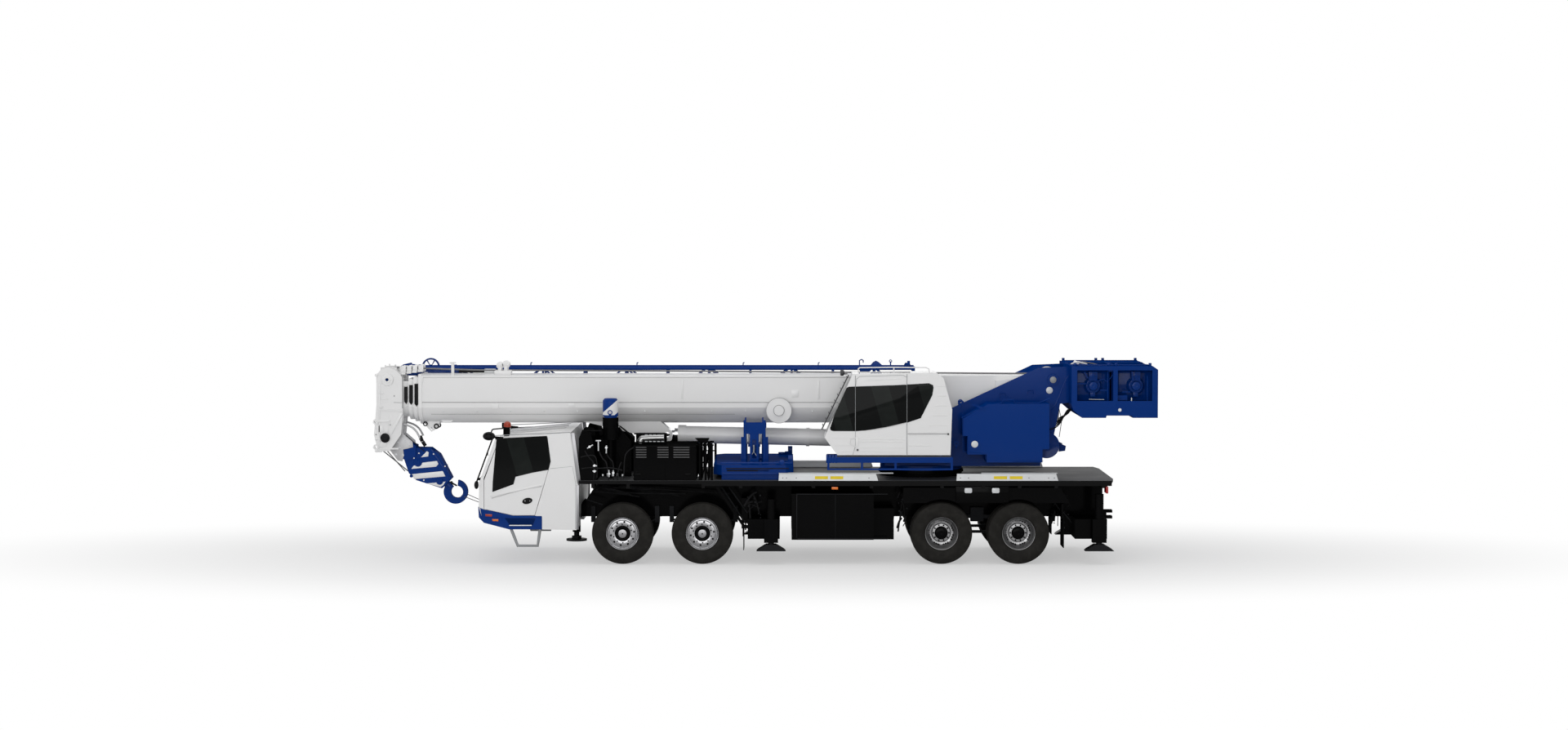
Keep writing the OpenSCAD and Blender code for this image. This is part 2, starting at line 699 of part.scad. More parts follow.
module turntable() {
  color("#123f94") {
    difference() {
      union() {
        both() slab(plate_y, plate_y + main_t) main_plate();
        // Round base on the ring and the floor between the plates
        translate([slew_x, 0, super_z - 40]) cylinder(r = ring_r, h = 90);
        block([2250, 5120], [-plate_y - main_t, plate_y + main_t], [super_z + 40, 1800]);
        block([5060, 5120], [-plate_y, plate_y], [1799, 2300]);
        both() cross_bar(cylinder_pin, 150, 230, plate_y + 1);
        // Hose drum behind the rear wall
        cross_bar([5228, 2116], 236, -plate_y - 1, plate_y + 1);
      }
      cross_bar(foot_pin, foot_pin_d / 2, -900, 900);
      cross_bar(cylinder_pin, 70, -900, 900);
      translate([slew_x, 0, super_z - 50]) cylinder(r = ring_r - 150, h = 60);
    }
    // Pins of the boom foot and the cylinder
    both() cross_bar(foot_pin, foot_pin_d / 2 + 1, plate_y + 1, plate_y + main_t + 30);
    both() cross_bar(foot_pin, foot_pin_d / 2 - fit, boom_y + 2, plate_y + 2);
    cross_bar(cylinder_pin, 70 - fit, -240, 240);
    both() cross_bar(cylinder_pin, 71, 240, plate_y + main_t - 5);
    // Lifting eyes
    both() for (p = [[3660, 2880], [3530, 2100]])
      slab(plate_y + 20, plate_y + 50) difference() {
        translate(p) circle(r = 60);
        translate(p) circle(r = 26);
      }
  }
}

module side_covers() {
  color("#0f3a8d") {
    both() slab(plate_y + main_t, 1200) polygon([[3650, 2640], [4110, 2911], [5228, 2917], [5228, 2091],
      [5105, 2082], [5105, 1844], [4087, 1844], [4087, 1987], [3740, 1987], [3740, 2327], [3650, 2327]]);
    both() cross_bar([3898, 2154], 64, 1199, 1216);
  }
}

OPERATOR_SIDE = [[1130, 2315], [1365, 1993], [3416, 1993], [3444, 2827], [3290, 3385], [3160, 3490],
  [1640, 3470]];
OPERATOR_INSIDE = [[1185, 2320], [1400, 2033], [3376, 2033], [3402, 2822], [3255, 3360], [3145, 3450],
  [1665, 3430]];
OPERATOR_WINDOW = [[1536, 3213], [3029, 3302], [3100, 3232], [2878, 2665], [2622, 2580], [2121, 2466],
  [1706, 2429], [1271, 2432], [1243, 2494]];
op_y0 = -1400;
op_y1 = -660;
op_t = 40;

module operator_cab() {
  color("#e9e9e7") difference() {
    slab(op_y0, op_y1) polygon(OPERATOR_SIDE);
    slab(op_y0 + op_t, op_y1 - op_t) polygon(OPERATOR_INSIDE);
    // Side windows, the door's opening and the windscreen
    slab(op_y1 - op_t - 1, op_y1 + 1) polygon(OPERATOR_WINDOW);
    slab(op_y0 - 1, op_y0 + op_t + 1) intersection() {
      polygon(OPERATOR_WINDOW);
      translate([2620, 2300]) square([600, 1200]);
    }
    slab(op_y0 - 1, op_y0 + op_t + 1) intersection() {
      polygon(OPERATOR_WINDOW);
      translate([1100, 2300]) square([582, 1200]);
    }
    block([1687, 2617], [op_y0 - 1, op_y0 + op_t + 1], [2033, 3420]);
    slab(op_y0 + 60, op_y1 - 60) polygon([[1700, 3410], [1240, 2390], [1000, 2390], [1500, 3410]]);
    slab(op_y0 + 80, op_y1 - 80) polygon([[1760, 3440], [1760, 3520], [2700, 3520], [2700, 3440]]);
  }
}

module operator_glass() {
  color("#141a1d") {
    // Windscreen, roof window and the panes of both sides
    slab(op_y0 + 60 + fit, op_y1 - 60 - fit) polygon([[1617, 3409], [1166, 2391], [1174, 2391],
      [1625, 3409]]);
    block([1760 + fit, 2700 - fit], [op_y0 + 80 + fit, op_y1 - 80 - fit], [3462, 3468]);
    slab(op_y1 - 24, op_y1 - 18) polygon(OPERATOR_WINDOW);
    slab(op_y0 + 18, op_y0 + 24) intersection() {
      polygon(OPERATOR_WINDOW);
      translate([2620, 2300]) square([600, 1200]);
    }
    slab(op_y0 + 18, op_y0 + 24) intersection() {
      polygon(OPERATOR_WINDOW);
      translate([1100, 2300]) square([582, 1200]);
    }
  }
}

module operator_door() {
  color("#efefed") {
    difference() {
      block([1688, 2616], [op_y0, op_y0 + op_t], [2033, 3419]);
      slab(op_y0 - 1, op_y0 + op_t + 1) intersection() {
        polygon(OPERATOR_WINDOW);
        translate([1700, 2300]) square([904, 1200]);
      }
    }
    slab(op_y0 + 18, op_y0 + 24) intersection() {
      polygon(OPERATOR_WINDOW);
      translate([1700, 2300]) square([904, 1200]);
    }
  }
}

module operator_seat() {
  floor = 2033;
  color("#26282b") {
    seat(2600, -1030, floor, 60);
    block([1420, 1600], [-1250, -820], [floor, 2560]);
    for (y = [-1330, -780]) block([2300, 2720], [y, y + 70], [floor, 2560]);
  }
}

module cab_walkway() {
  color("#123f94") {
    block([1180, 3460], [op_y0, op_y1], [1900, 1957]);
    block([1180, 3460], [op_y0, op_y0 + 60], [1854, 1901]);
    for (x = [1180, 1790, 2400, 3420]) block([x, x + 40], [op_y0, op_y0 + 30], [1720, 1855]);
    block([1180, 3460], [op_y0, op_y0 + 30], [1721, 1751]);
    // Rubber mounts below the cab
    for (x = [1500, 3250]) for (y = [-1300, -760]) post(x, y, 40, 1956, 1993);
    // Arms from the turntable
    for (x = [2300, 3200]) block([x, x + 120], [op_y1 - 1, -plate_y - main_t], [1860, 1957]);
  }
}

module winch_outline() {
  polygon([[5640, 3596], [7120, 3596], [7215, 3530], [7215, 2650], [6760, 2650], [6748, 2691],
    [6281, 2691], [6270, 2650], [5835, 2650], [5795, 2683], [5674, 2788], [5640, 2900]]);
}

module winch_frame() {
  color("#123f94") {
    difference() {
      slab(-winch_w / 2, winch_w / 2) winch_outline();
      // Bays of the two winches, open on top and to the sides
      both() for (x = [[5700, 6400], [6480, 7150]])
        block(x, [380, winch_w / 2 + 1], [2900, 3560]);
      for (x = [[5700, 6400], [6480, 7150]]) block(x, [-340, 340], [2780, 3700]);
      for (x = [6054, 6838]) cross_bar([x, 3224], 60 + fit, -500, 500);
    }
    both() slab(winch_w / 2 - 12, winch_w / 2) difference() {
      polygon([[5700, 3561], [7150, 3561], [7150, 2899], [5700, 2899]]);
      translate([5740, 2960]) square([1370, 560]);
    }
  }
}

module winch_drums() {
  color("#8b8d8f") for (x = [6054, 6838]) {
    cross_bar([x, 3224], 60, -480, 480);
    cross_bar([x, 3224], 240, -330, 330);
    both() cross_bar([x, 3224], 280, 300, 330);
    both() cross_bar([x, 3224], 113, 400, 900);
  }
}

// Luffing cylinder: drawn along -X from its foot, then tilted
module on_cylinder() {
  translate([cylinder_pin[0], 0, cylinder_pin[1]]) rotate([0, luff_angle, 0]) children();
}

module along(r, a, b) {
  translate([-b, 0, 0]) rotate([0, 90, 0]) cylinder(r = r, h = b - a);
}

module luffing_barrel() {
  color("#d9dadb") on_cylinder() difference() {
    union() {
      rotate([90, 0, 0]) translate([0, 0, -200]) cylinder(r = 160, h = 400);
      along(barrel_d / 2, 60, barrel_len);
      along(barrel_d / 2 + 16, barrel_len - 150, barrel_len);
      along(barrel_d / 2 + 14, 3030, 3090);
    }
    rotate([90, 0, 0]) translate([0, 0, -201]) cylinder(r = 70 + fit, h = 402);
    along(rod_d / 2 + fit, 320, barrel_len + 1);
  }
}

module luffing_rod() {
  color("#c9cccf") on_cylinder() difference() {
    union() {
      along(rod_d / 2, 420, luff_len - 135);
      translate([-luff_len, 0, 0]) rotate([90, 0, 0]) translate([0, 0, -eye_half]) cylinder(r = 105,
        h = 2 * eye_half);
      along(76, luff_len - rod_out, luff_len - 50);
    }
    translate([-luff_len, 0, 0]) rotate([90, 0, 0]) translate([0, 0, -200]) cylinder(r = 52, h = 400);
  }
}

// Boom

// Cross-section in Y and Z, smaller by one inset for each section inside another
module boom_profile(inset) {
  y = boom_y - inset;
  intersection() {
    translate([-y, 0]) square([2 * y, boom_z - inset]);
    union() {
      translate([0, belly_z]) circle(r = belly_r - inset, $fn = 96);
      translate([-y, belly_z - 145 + inset * 0.3]) square([2 * y, 600 - inset * 1.3]);
    }
  }
}

// A tube of that section from x0 to x1
module boom_tube(x0, x1, inset, wall) {
  translate([x0, 0, 0]) rotate([90, 0, 90]) linear_extrude(x1 - x0) difference() {
    boom_profile(inset);
    boom_profile(inset + wall);
  }
}

module boom_section(i, x1) {
  inset = i * boom_step;
  x0 = base_x0 - i * 97;
  boom_tube(x0, x1, inset, boom_t);
  // Collar at the mouth, its wear pads round the next section
  lip = i == 0 ? 22 : 12;
  boom_tube(x0, x0 + collar_len, inset - lip, lip + boom_step - fit);
}

module rod_bracket() {
  difference() {
    polygon([[-3346, 2524], [-2401, 2296], [-1870, 2180], [-1780, 2120], [-1690, 2180], [-1680, 2320],
      [-1900, 2524]]);
    translate(rod_eye) circle(r = 51.5);
  }
}

module boom_base() {
  color("#dddedf") {
    boom_section(0, base_x1 - 40);
    translate([base_x1 - 41, 0, 0]) rotate([90, 0, 90]) linear_extrude(30) difference() {
      boom_profile(0);
      translate([-200, 2700]) square([400, 400]);
    }
    // Foot lugs and the pin's bore
    both() difference() {
      slab(boom_y - 1, plate_y - 12) union() {
        translate(foot_pin) circle(r = 190);
        polygon([[4300, 2960], [5500, 2960], [5520, 3322], [5200, 3380], [4300, 3300]]);
      }
      cross_bar(foot_pin, foot_pin_d / 2 + fit, 0, 900);
    }
    // Brackets of the rod's eye
    both() slab(rod_d / 2 + 7, rod_d / 2 + 47) rod_bracket();
    reel();
    // Lugs below the front
    both() slab(120, 150) difference() {
      polygon([[-6270, 2522], [-6250, 2420], [-6160, 2330], [-6060, 2400], [-6000, 2522]]);
      translate([-6155, 2385]) circle(r = 28);
    }
  }
}

// Cable reel on the boom's side
module reel() {
  cross_bar([301, 2750], 236, -plate_y, -boom_y - 60);
  cross_bar([301, 2750], 90, -plate_y - 60, 1 - boom_y);
}

// Swing-away jib: four chords with bracing, stowed on the far side
JIB_Z = [2880, 3480];
jib_w = 560;
jib_bay = 780;
module jib_brace(y, up) {
  z = up ? JIB_Z : [JIB_Z[1], JIB_Z[0]];
  slab(y - 14, y + 14) polygon([[0, z[0]], [50, z[0]], [jib_bay, z[1]], [jib_bay - 50, z[1]]]);
}

module fly_jib() {
  y0 = boom_y + 70;
  y1 = y0 + jib_w;
  x0 = -6500;
  bays = 12;
  color("#123f94") {
    for (y = [y0, y1]) for (z = JIB_Z) translate([x0, y, z]) rotate([0, 90, 0])
      cylinder(r = 34, h = bays * jib_bay);
    for (i = [0:bays]) {
      x = x0 + jib_bay * i - (i == bays ? 40 : 0);
      for (z = JIB_Z) block([x, x + 40], [y0 - 15, y1 + 15], [z - 20, z + 20]);
      for (y = [y0, y1]) block([x, x + 40], [y - 15, y + 15], [JIB_Z[0], JIB_Z[1]]);
      if (i < bays) for (y = [y0, y1]) translate([x + 0.5, 0, 0]) jib_brace(y, i % 2 == 0);
    }
    // Head with its sheave, and the foot's ears
    slab(y0 + 230, y0 + 330) polygon([[-6932, 3446], [-6740, 3520], [x0 + 40, 3540], [x0 + 40, 3360],
      [-6880, 3400]]);
    difference() {
      cross_bar([-6288, 3492], 169, y0 + 260, y0 + 300);
      slab(y0 + 250, y0 + 310) for (a = [30:60:330]) translate([-6288, 3492]) rotate(a)
        intersection() {
          difference() {
            circle(r = 137);
            circle(r = 45);
          }
          polygon([[22, 8], [180, 88], [180, -88], [22, -8]]);
        }
    }
    block([-6500, -6120], [y0 - 10, y1 + 10], [JIB_Z[1] - 30, JIB_Z[1] + 30]);
    for (y = [y0 + 40, y1 - 60]) slab(y, y + 20)
      polygon([[2640, 3460], [2700, 3560], [2760, 3560], [2860, 3470]]);
    // Seats on the boom's side
    for (x = [-5180, 1820]) for (z = [JIB_Z[0] - 10, 3300])
      block([x, x + 160], [boom_y, y0 + 14], [z - 30, z + 30]);
    for (x = [-5180, 1820]) block([x, x + 160], [y0 - 14, y0 + 14], [JIB_Z[0], JIB_Z[1]]);
  }
}

module boom_section_2() {
  color("#dddedf") boom_section(1, base_x1 - 600);
}

module boom_section_3() {
  color("#dddedf") boom_section(2, base_x1 - 660);
}

HEAD_SIDE = [[-6664, 3330], [-6720, 3420], [-6800, 3490], [-6900, 3535], [-7000, 3535], [-7080, 3480],
  [-7150, 3400], [-7150, 2853], [-7199, 2285], [-7128, 1981], [-6914, 1981], [-6700, 2290],
  [-6664, 2640]];
LUG_Z = [2060, 2529];
module boom_tip() {
  inset = 3 * boom_step;
  color("#dddedf") {
    boom_tube(-6700, base_x1 - 720, inset, boom_t);
    difference() {
      union() {
        both() slab(330, 370) polygon(HEAD_SIDE);
        both() slab(150, 170) polygon(HEAD_SIDE);
        translate([-6700, 0, 0]) rotate([90, 0, 90]) linear_extrude(40)
          difference() {
            boom_profile(inset - 12);
            boom_profile(inset + boom_t - 1);
          }
        block([-6740, -6700], [-371, 371], [2500, 3300]);
        block([-7138, -7108], [-371, 371], [2500, 2900]);
        // Lugs for an extension
        both() slab(372 - 60, 372 + 20) {
          for (z = LUG_Z) translate([-7165, z]) circle(r = 50);
        }
      }
      for (z = LUG_Z) cross_bar([-7165, z], 22, -500, 500);
    }
    for (p = [[-6944, 3312], hook_pivot]) {
      cross_bar(p, 45, -400, 400);
      for (y = [-285, -235, 195, 245]) cross_bar(p, sheave_r - 60, y, y + 40);
      for (y = [-90, -20, 50]) cross_bar(p, sheave_r - 60, y, y + 40);
    }
  }
}

BLOCK_SIDE = [[368, 48], [754, 354], [958, 362], [1417, 163], [1393, -96], [929, -280], [738, -266],
  [503, -118]];
module hook_block() {
  color("#16459c") translate([hook_pivot[0], 0, hook_pivot[1]]) rotate([0, hook_tilt, 0]) {
    both() slab(130, 160) polygon(BLOCK_SIDE);
    slab(-131, 131) difference() {
      polygon(BLOCK_SIDE);
      translate([760, 40]) circle(r = 330);
    }
    for (y = [-110, -45, 20, 85]) cross_bar([760, 40], 225, y, y + 30);
    cross_bar([760, 40], 50, -170, 170);
    // Links that hold the block to the head
    both() difference() {
      slab(171, 191) union() {
        polygon([[-40, -40], [0, 60], [520, 220], [640, 60], [560, -120], [200, -80]]);
        circle(r = 70);
      }
      cross_bar([0, 0], 45 + fit, 0, 300);
    }
    both() cross_bar([540, 60], 30, 159, 172);
    hook_shape();
  }
}

module hook_shape() {
  translate([hook_u, 0, 0]) {
    slab(-55, 55) difference() {
      circle(r = 225);
      translate([20, 15]) circle(r = 112);
      polygon([[20, 15], [-122, 230], [-260, 240], [-250, 80], [-90, 45]]);
    }
    translate([-260, 0, 0]) rotate([0, 90, 0]) cylinder(r = 60, h = 120);
  }
}

chassis();
deck();
deck_boards();
fenders();
side_boxes();
axles_front();
axles_rear();
engine_block();
engine_housing();
exhaust_pipe();
deck_stands();
stowed_hook();
counterweight();
carrier_lamps();
carrier_cab();
cab_glass();
cab_interior();
cab_mirrors();
front_bumper();
cab_door(-1);  // cab_door_left
cab_door(1);  // cab_door_right
knuckle(axle_1_x, -1);  // knuckle_1l
knuckle(axle_1_x, 1);  // knuckle_1r
knuckle(axle_2_x, -1);  // knuckle_2l
knuckle(axle_2_x, 1);  // knuckle_2r
wheel(axle_1_x, -1, true);  // wheel_1l
wheel(axle_1_x, 1, true);  // wheel_1r
wheel(axle_2_x, -1, true);  // wheel_2l
wheel(axle_2_x, 1, true);  // wheel_2r
wheel(axle_3_x, -1, false);  // wheel_3l
wheel(axle_3_x, 1, false);  // wheel_3r
wheel(axle_4_x, -1, false);  // wheel_4l
wheel(axle_4_x, 1, false);  // wheel_4r
outrigger_beam(1, -1);  // outrigger_beam_1l
outrigger_beam(1, 1);  // outrigger_beam_1r
outrigger_beam(2, -1);  // outrigger_beam_2l
outrigger_beam(2, 1);  // outrigger_beam_2r
outrigger_jack(1, -1);  // outrigger_jack_1l
outrigger_jack(1, 1);  // outrigger_jack_1r
outrigger_jack(2, -1);  // outrigger_jack_2l
outrigger_jack(2, 1);  // outrigger_jack_2r
front_jack();
slew_ring();
turntable();
side_covers();
operator_cab();
operator_glass();
operator_seat();
operator_door();
cab_walkway();
winch_frame();
winch_drums();
luffing_barrel();
luffing_rod();
boom_base();
fly_jib();
boom_section_2();
boom_section_3();
boom_tip();
hook_block();
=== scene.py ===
# %% [markdown]
# # A four-axle truck crane, dressed for its portrait
# The crane's bones come from the construction model: every plate, tube and joint is already at its real
# size. This notebook gives them paint, glass, rubber and chrome, and adds what is too fine for
# construction, such as tyre lugs, wheel nuts, ropes, hoses, hinges and louvres. Lengths are in metres.
# The front points to -X, the driver's side to -Y, and the ground is Z = 0.

# %% Load the crane
import math
import random

import bpy
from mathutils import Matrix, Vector


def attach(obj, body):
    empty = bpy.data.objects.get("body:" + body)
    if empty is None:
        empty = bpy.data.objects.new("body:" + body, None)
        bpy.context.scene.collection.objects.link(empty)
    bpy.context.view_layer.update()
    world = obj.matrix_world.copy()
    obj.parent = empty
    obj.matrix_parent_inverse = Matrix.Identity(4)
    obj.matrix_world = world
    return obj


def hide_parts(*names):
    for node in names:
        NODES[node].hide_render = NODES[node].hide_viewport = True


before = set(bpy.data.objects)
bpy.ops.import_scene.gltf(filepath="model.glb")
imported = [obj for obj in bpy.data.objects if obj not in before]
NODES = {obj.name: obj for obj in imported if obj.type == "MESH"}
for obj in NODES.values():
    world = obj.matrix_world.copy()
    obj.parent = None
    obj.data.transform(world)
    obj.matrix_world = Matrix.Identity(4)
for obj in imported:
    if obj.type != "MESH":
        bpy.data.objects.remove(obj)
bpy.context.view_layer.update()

# %% [markdown]
# ## Shader maths as plain arithmetic
# A paint that fades or gathers dust needs a little maths between nodes. A small class lets that maths be
# written as Python expressions: adding or multiplying two values adds the Math node that does it. All
# other nodes come from one method, so each finish below stays a few readable lines.

# %% A value that can be added and multiplied
class Value:
    def __init__(self, finish, socket):
        self.finish, self.socket = finish, socket

    def _maths(self, operation, a, b):
        return self.finish.node("ShaderNodeMath", {"operation": operation}, {0: a, 1: b})

    def __add__(self, other): return self._maths("ADD", self, other)
    def __radd__(self, other): return self._maths("ADD", other, self)
    def __sub__(self, other): return self._maths("SUBTRACT", self, other)
    def __rsub__(self, other): return self._maths("SUBTRACT", other, self)
    def __mul__(self, other): return self._maths("MULTIPLY", self, other)
    def __rmul__(self, other): return self._maths("MULTIPLY", other, self)
    def above(self, other): return self._maths("GREATER_THAN", self, other)
    def below(self, other): return self._maths("LESS_THAN", self, other)
    def mod(self, other): return self._maths("FLOORED_MODULO", self, other)


class Finish:
    """One material: a Principled shader and the nodes that feed it."""

    def __init__(self, name, colour, roughness=0.5, metallic=0.0):
        self.material = bpy.data.materials.new(name)
        self.material.use_nodes = True
        self.tree = self.material.node_tree
        self.shader = self.tree.nodes["Principled BSDF"]
        self.set("Base Color", (*colour, 1))
        self.set("Roughness", roughness)
        self.set("Metallic", metallic)

    def node(self, kind, settings=None, inputs=None, output=0):
        """Adds a node: its settings first, then the values or links of its sockets."""
        made = self.tree.nodes.new(kind)
        for key, value in (settings or {}).items():
            if key == "stops":
                for stop, (place, colour) in zip(made.color_ramp.elements, value):
                    stop.position, stop.color = place, colour
            else:
                setattr(made, key, value)
        for key, value in (inputs or {}).items():
            if isinstance(value, Value):
                self.tree.links.new(value.socket, made.inputs[key])
            else:
                made.inputs[key].default_value = value
        return Value(self, made.outputs[output])

    def set(self, socket, value):
        """Feeds one socket of the shader."""
        if isinstance(value, Value):
            self.tree.links.new(value.socket, self.shader.inputs[socket])
        else:
            self.shader.inputs[socket].default_value = value

    def place(self, axis=None):
        """The point in the crane's own coordinates, or one number of it."""
        point = self.node("ShaderNodeTexCoord", output="Object")
        if axis is None:
            return point
        return self.node("ShaderNodeSeparateXYZ", inputs={0: point}, output="XYZ".index(axis))

    def noise(self, size, detail=4.0, stretch=None):
        """Cloudy values about 0.5, as large as size."""
        point = self.place()
        if stretch:
            point = self.node("ShaderNodeVectorMath", {"operation": "MULTIPLY"}, {0: point, 1: stretch})
        return self.node("ShaderNodeTexNoise", inputs={"Vector": point, "Scale": 1 / size, "Detail": detail})

    def blend(self, mask, under, over):
        """The colour under, with over where the mask is 1."""
        kinds = {"data_type": "RGBA", "clamp_factor": True}
        under, over = [c if isinstance(c, Value) else (*c, 1) for c in (under, over)]
        return self.node("ShaderNodeMix", kinds, {0: mask, 6: under, 7: over}, output=2)

    def relief(self, height, distance, strength=1.0):
        self.set("Normal", self.node("ShaderNodeBump", inputs={
            "Height": height, "Distance": distance, "Strength": strength}))


print("shader helpers ready")

# %% [markdown]
# ## Sprayed enamel
# A crane is sprayed with two-pack enamel: a smooth coat with a faint orange peel, a little dust that
# settles low down, and slightly uneven gloss. One recipe serves the white, the blue and the black,
# because on the real machine they leave the same spray gun. The peel is a bump of a fraction of a
# millimetre, as a mesh could never hold it.

# %% Three paints from one recipe
def enamel(name, colour, dusty, roughness=0.34, dust=0.12, coat=0.35, shine=0.5):
    paint = Finish(name, colour, roughness)
    paint.shader.inputs["Specular IOR Level"].default_value = shine
    cloud = paint.noise(0.9, 5.0)
    speck = paint.noise(0.035, 3.0)
    low = paint.node("ShaderNodeMapRange", inputs={0: paint.place("Z"), 1: 0.3, 2: 1.9, 3: 1.0, 4: 0.25})
    settled = (cloud * 0.7 + speck * 0.3 - 0.38) * low * (dust * 5)
    paint.set("Base Color", paint.blend(settled, colour, dusty))
    paint.set("Roughness", roughness - 0.05 + cloud * 0.12 + speck * 0.06)
    paint.relief(paint.noise(0.012, 2.0) * 0.5 + paint.noise(0.2, 2.0), 0.0005, 0.5)
    facing = paint.node("ShaderNodeLayerWeight", inputs={"Blend": 0.5}, output=1)
    paint.set("Coat Weight", (1.0 - facing) * coat)
    paint.shader.inputs["Coat Roughness"].default_value = 0.12
    return paint.material


WHITE, BLUE, BLACK = (0.82, 0.82, 0.822), (0.0003, 0.031, 0.200), (0.0025, 0.0025, 0.0027)
white_paint = enamel("white_enamel", WHITE, (0.66, 0.65, 0.62))
blue_paint = enamel("blue_enamel", BLUE, (0.02, 0.05, 0.17), 0.36, coat=0.25, shine=0.0)
black_paint = enamel("black_chassis_paint", BLACK, (0.009, 0.0088, 0.0082), 0.5, 0.12, 0.08, 0.0)
deep_blue = enamel("deep_blue_enamel", (0.001, 0.015, 0.09), (0.01, 0.03, 0.1), 0.4, coat=0.1, shine=0.0)
tread = Finish("deck_tread", BLACK, 0.6)
# The top face is painted a lighter grey than the black sides: painted light where the overhead light falls on
# the level top. The noise named dust breaks that painted light into patches and varies the roughness.
top = tread.place("Z").above(1.5335)
dust = tread.noise(0.5, 5.0)
tread.set("Base Color", tread.blend(top * (0.7 + dust * 0.5), BLACK, (0.052, 0.053, 0.055)))
tread.set("Roughness", 0.5 + dust * 0.2)
tread.shader.inputs["Specular IOR Level"].default_value = 0.1
deck_tread = tread.material
print("enamels", white_paint.name, blue_paint.name, black_paint.name)

# %% [markdown]
# ## Rubber, steel, glass and plastic
# The other finishes differ in how they catch light. Tyre rubber is matt and brownish, with a fine grain.
# Bare steel and aluminium are metals whose roughness streaks along the brushing. Tinted glass is nearly
# black and very smooth: a little transmission lets the seat behind it show faintly.

# %% Rubber and metals
def rubber(name, colour, grain=0.004):
    skin = Finish(name, colour, 0.72)
    skin.shader.inputs["Specular IOR Level"].default_value = 0.12
    patch = skin.noise(0.12, 6.0)
    skin.set("Base Color", skin.blend((patch - 0.42) * 2.2, colour, tuple(c * 1.9 + 0.004 for c in colour)))
    skin.set("Roughness", 0.62 + patch * 0.2)
    skin.relief(skin.noise(grain, 3.0), 0.0006, 0.5)
    return skin.material


def metal(name, colour, roughness, streak=(1, 1, 1), tarnish=0.35, grain=0.0003):
    bare = Finish(name, colour, roughness, 1.0)
    brushed = bare.noise(0.02, 5.0, streak)
    cloud = bare.noise(0.3, 4.0)
    bare.set("Base Color", bare.blend((cloud - 0.4) * tarnish * 2, colour, tuple(c * 0.55 for c in colour)))
    bare.set("Roughness", roughness - 0.08 + brushed * 0.16 + cloud * 0.06)
    bare.relief(brushed, grain, 0.4)
    return bare.material


tyre_rubber = rubber("tyre_rubber", (0.0125, 0.0118, 0.0105))
hose_rubber = rubber("hose_rubber", (0.008, 0.008, 0.0085), 0.003)
aluminium = metal("bright_aluminium", (0.36, 0.36, 0.37), 0.24, (1, 1, 1), 0.05, 0.00003)
wheel_silver = metal("silvered_steel", (0.34, 0.34, 0.345), 0.32, (1, 1, 1), 0.1, 0.00003)
strip_metal = metal("brushed_strip", (0.30, 0.30, 0.31), 0.34, (1, 1, 0.15), 0.2)
board_metal = metal("board_aluminium", (0.55, 0.56, 0.57), 0.5, (0.1, 1, 1), 0.2)
iron = metal("cast_iron", (0.11, 0.11, 0.115), 0.55, (1, 1, 1), 0.5)
dark_steel = metal("dark_steel", (0.018, 0.0185, 0.02), 0.55, (1, 1, 1), 0.5)
chrome = metal("hard_chrome", (0.82, 0.83, 0.85), 0.16, (0.2, 1, 1), 0.05)
exhaust_steel = metal("exhaust_steel", (0.42, 0.42, 0.42), 0.3, (1, 1, 1), 0.4)
galvanised = metal("galvanised_steel", (0.6, 0.61, 0.62), 0.42, (1, 1, 1), 0.2)
print("rubber and metals ready")

# %% Glass, lamps and moulded plastic
def glass(name, colour, alpha):
    pane = Finish(name, colour, 0.04)
    pane.shader.inputs["Specular IOR Level"].default_value = 0.6
    ripple = pane.noise(0.5, 2.0)
    pane.set("Alpha", alpha - 0.04 + ripple * 0.08)
    pane.relief(ripple, 0.0006, 0.3)
    return pane.material


def moulded(name, colour, roughness=0.5, grain=0.5):
    part = Finish(name, colour, roughness)
    cloud = part.noise(0.15, 4.0)
    part.set("Base Color", part.blend((cloud - 0.4) * 1.4, colour, tuple(c * 0.75 for c in colour)))
    part.set("Roughness", roughness - 0.05 + cloud * 0.12)
    part.relief(part.noise(0.002, 2.0), 0.0003, grain)
    return part.material


tinted_glass = glass("tinted_glass", (0.006, 0.007, 0.008), 0.93)


def sheet_glass(name):
    """Opaque tinted glass, with faint slanted bands of painted reflection standing also for the seat."""
    pane = Finish(name, (0.006, 0.0065, 0.0065), 0.06)
    pane.shader.inputs["Specular IOR Level"].default_value = 0.06
    across = pane.place("X")
    lean = pane.place("Z") * 0.28
    inside = (across + lean).mod(0.86)
    # Slanted bands high on the pane: painted reflection, standing also for the seat behind the glass.
    reflection_bands = inside.above(0.30) * inside.below(0.62) * pane.place("Z").above(1.62)
    soft = pane.noise(0.35, 2.0)
    pane.set("Base Color", pane.blend(reflection_bands * soft * 0.9, (0.006, 0.0065, 0.0065), (0.020, 0.024, 0.022)))
    pane.relief(soft, 0.0004, 0.3)
    return pane.material


deep_glass = sheet_glass("deep_tinted_glass")
cabin_plastic = moulded("cabin_plastic", (0.03, 0.031, 0.034))
amber_plastic = moulded("amber_lens", (0.75, 0.17, 0.012), 0.2, 0.1)
red_plastic = moulded("red_lens", (0.42, 0.008, 0.008), 0.2, 0.1)
clear_plastic = moulded("clear_lens", (0.7, 0.72, 0.74), 0.15, 0.1)
yellow_paint = moulded("yellow_marking", (0.80, 0.60, 0.003), 0.5, 0.1)
grey_paint = moulded("grey_trim", (0.30, 0.31, 0.32), 0.4, 0.2)
# A light grey for the painted shade along the doors' crease.
crease_grey = moulded("crease_grey", (0.58, 0.58, 0.585), 0.5, 0.1)
louvre_grey = moulded("louvre_grey", (0.045, 0.045, 0.047), 0.5, 0.1)
seam_shade = moulded("seam_shade", (0.30, 0.30, 0.305), 0.6, 0.1)
red_amber = moulded("red_amber_lens", (0.36, 0.030, 0.004), 0.2, 0.1)
print("glass, lamps and plastics ready")

# %% [markdown]
# ## Paint the construction model
# Most parts keep the shape that they have, so they only change clothes. Each part of the model has one or
# more material slots, and a finish is assigned to every slot of the part that wears it.

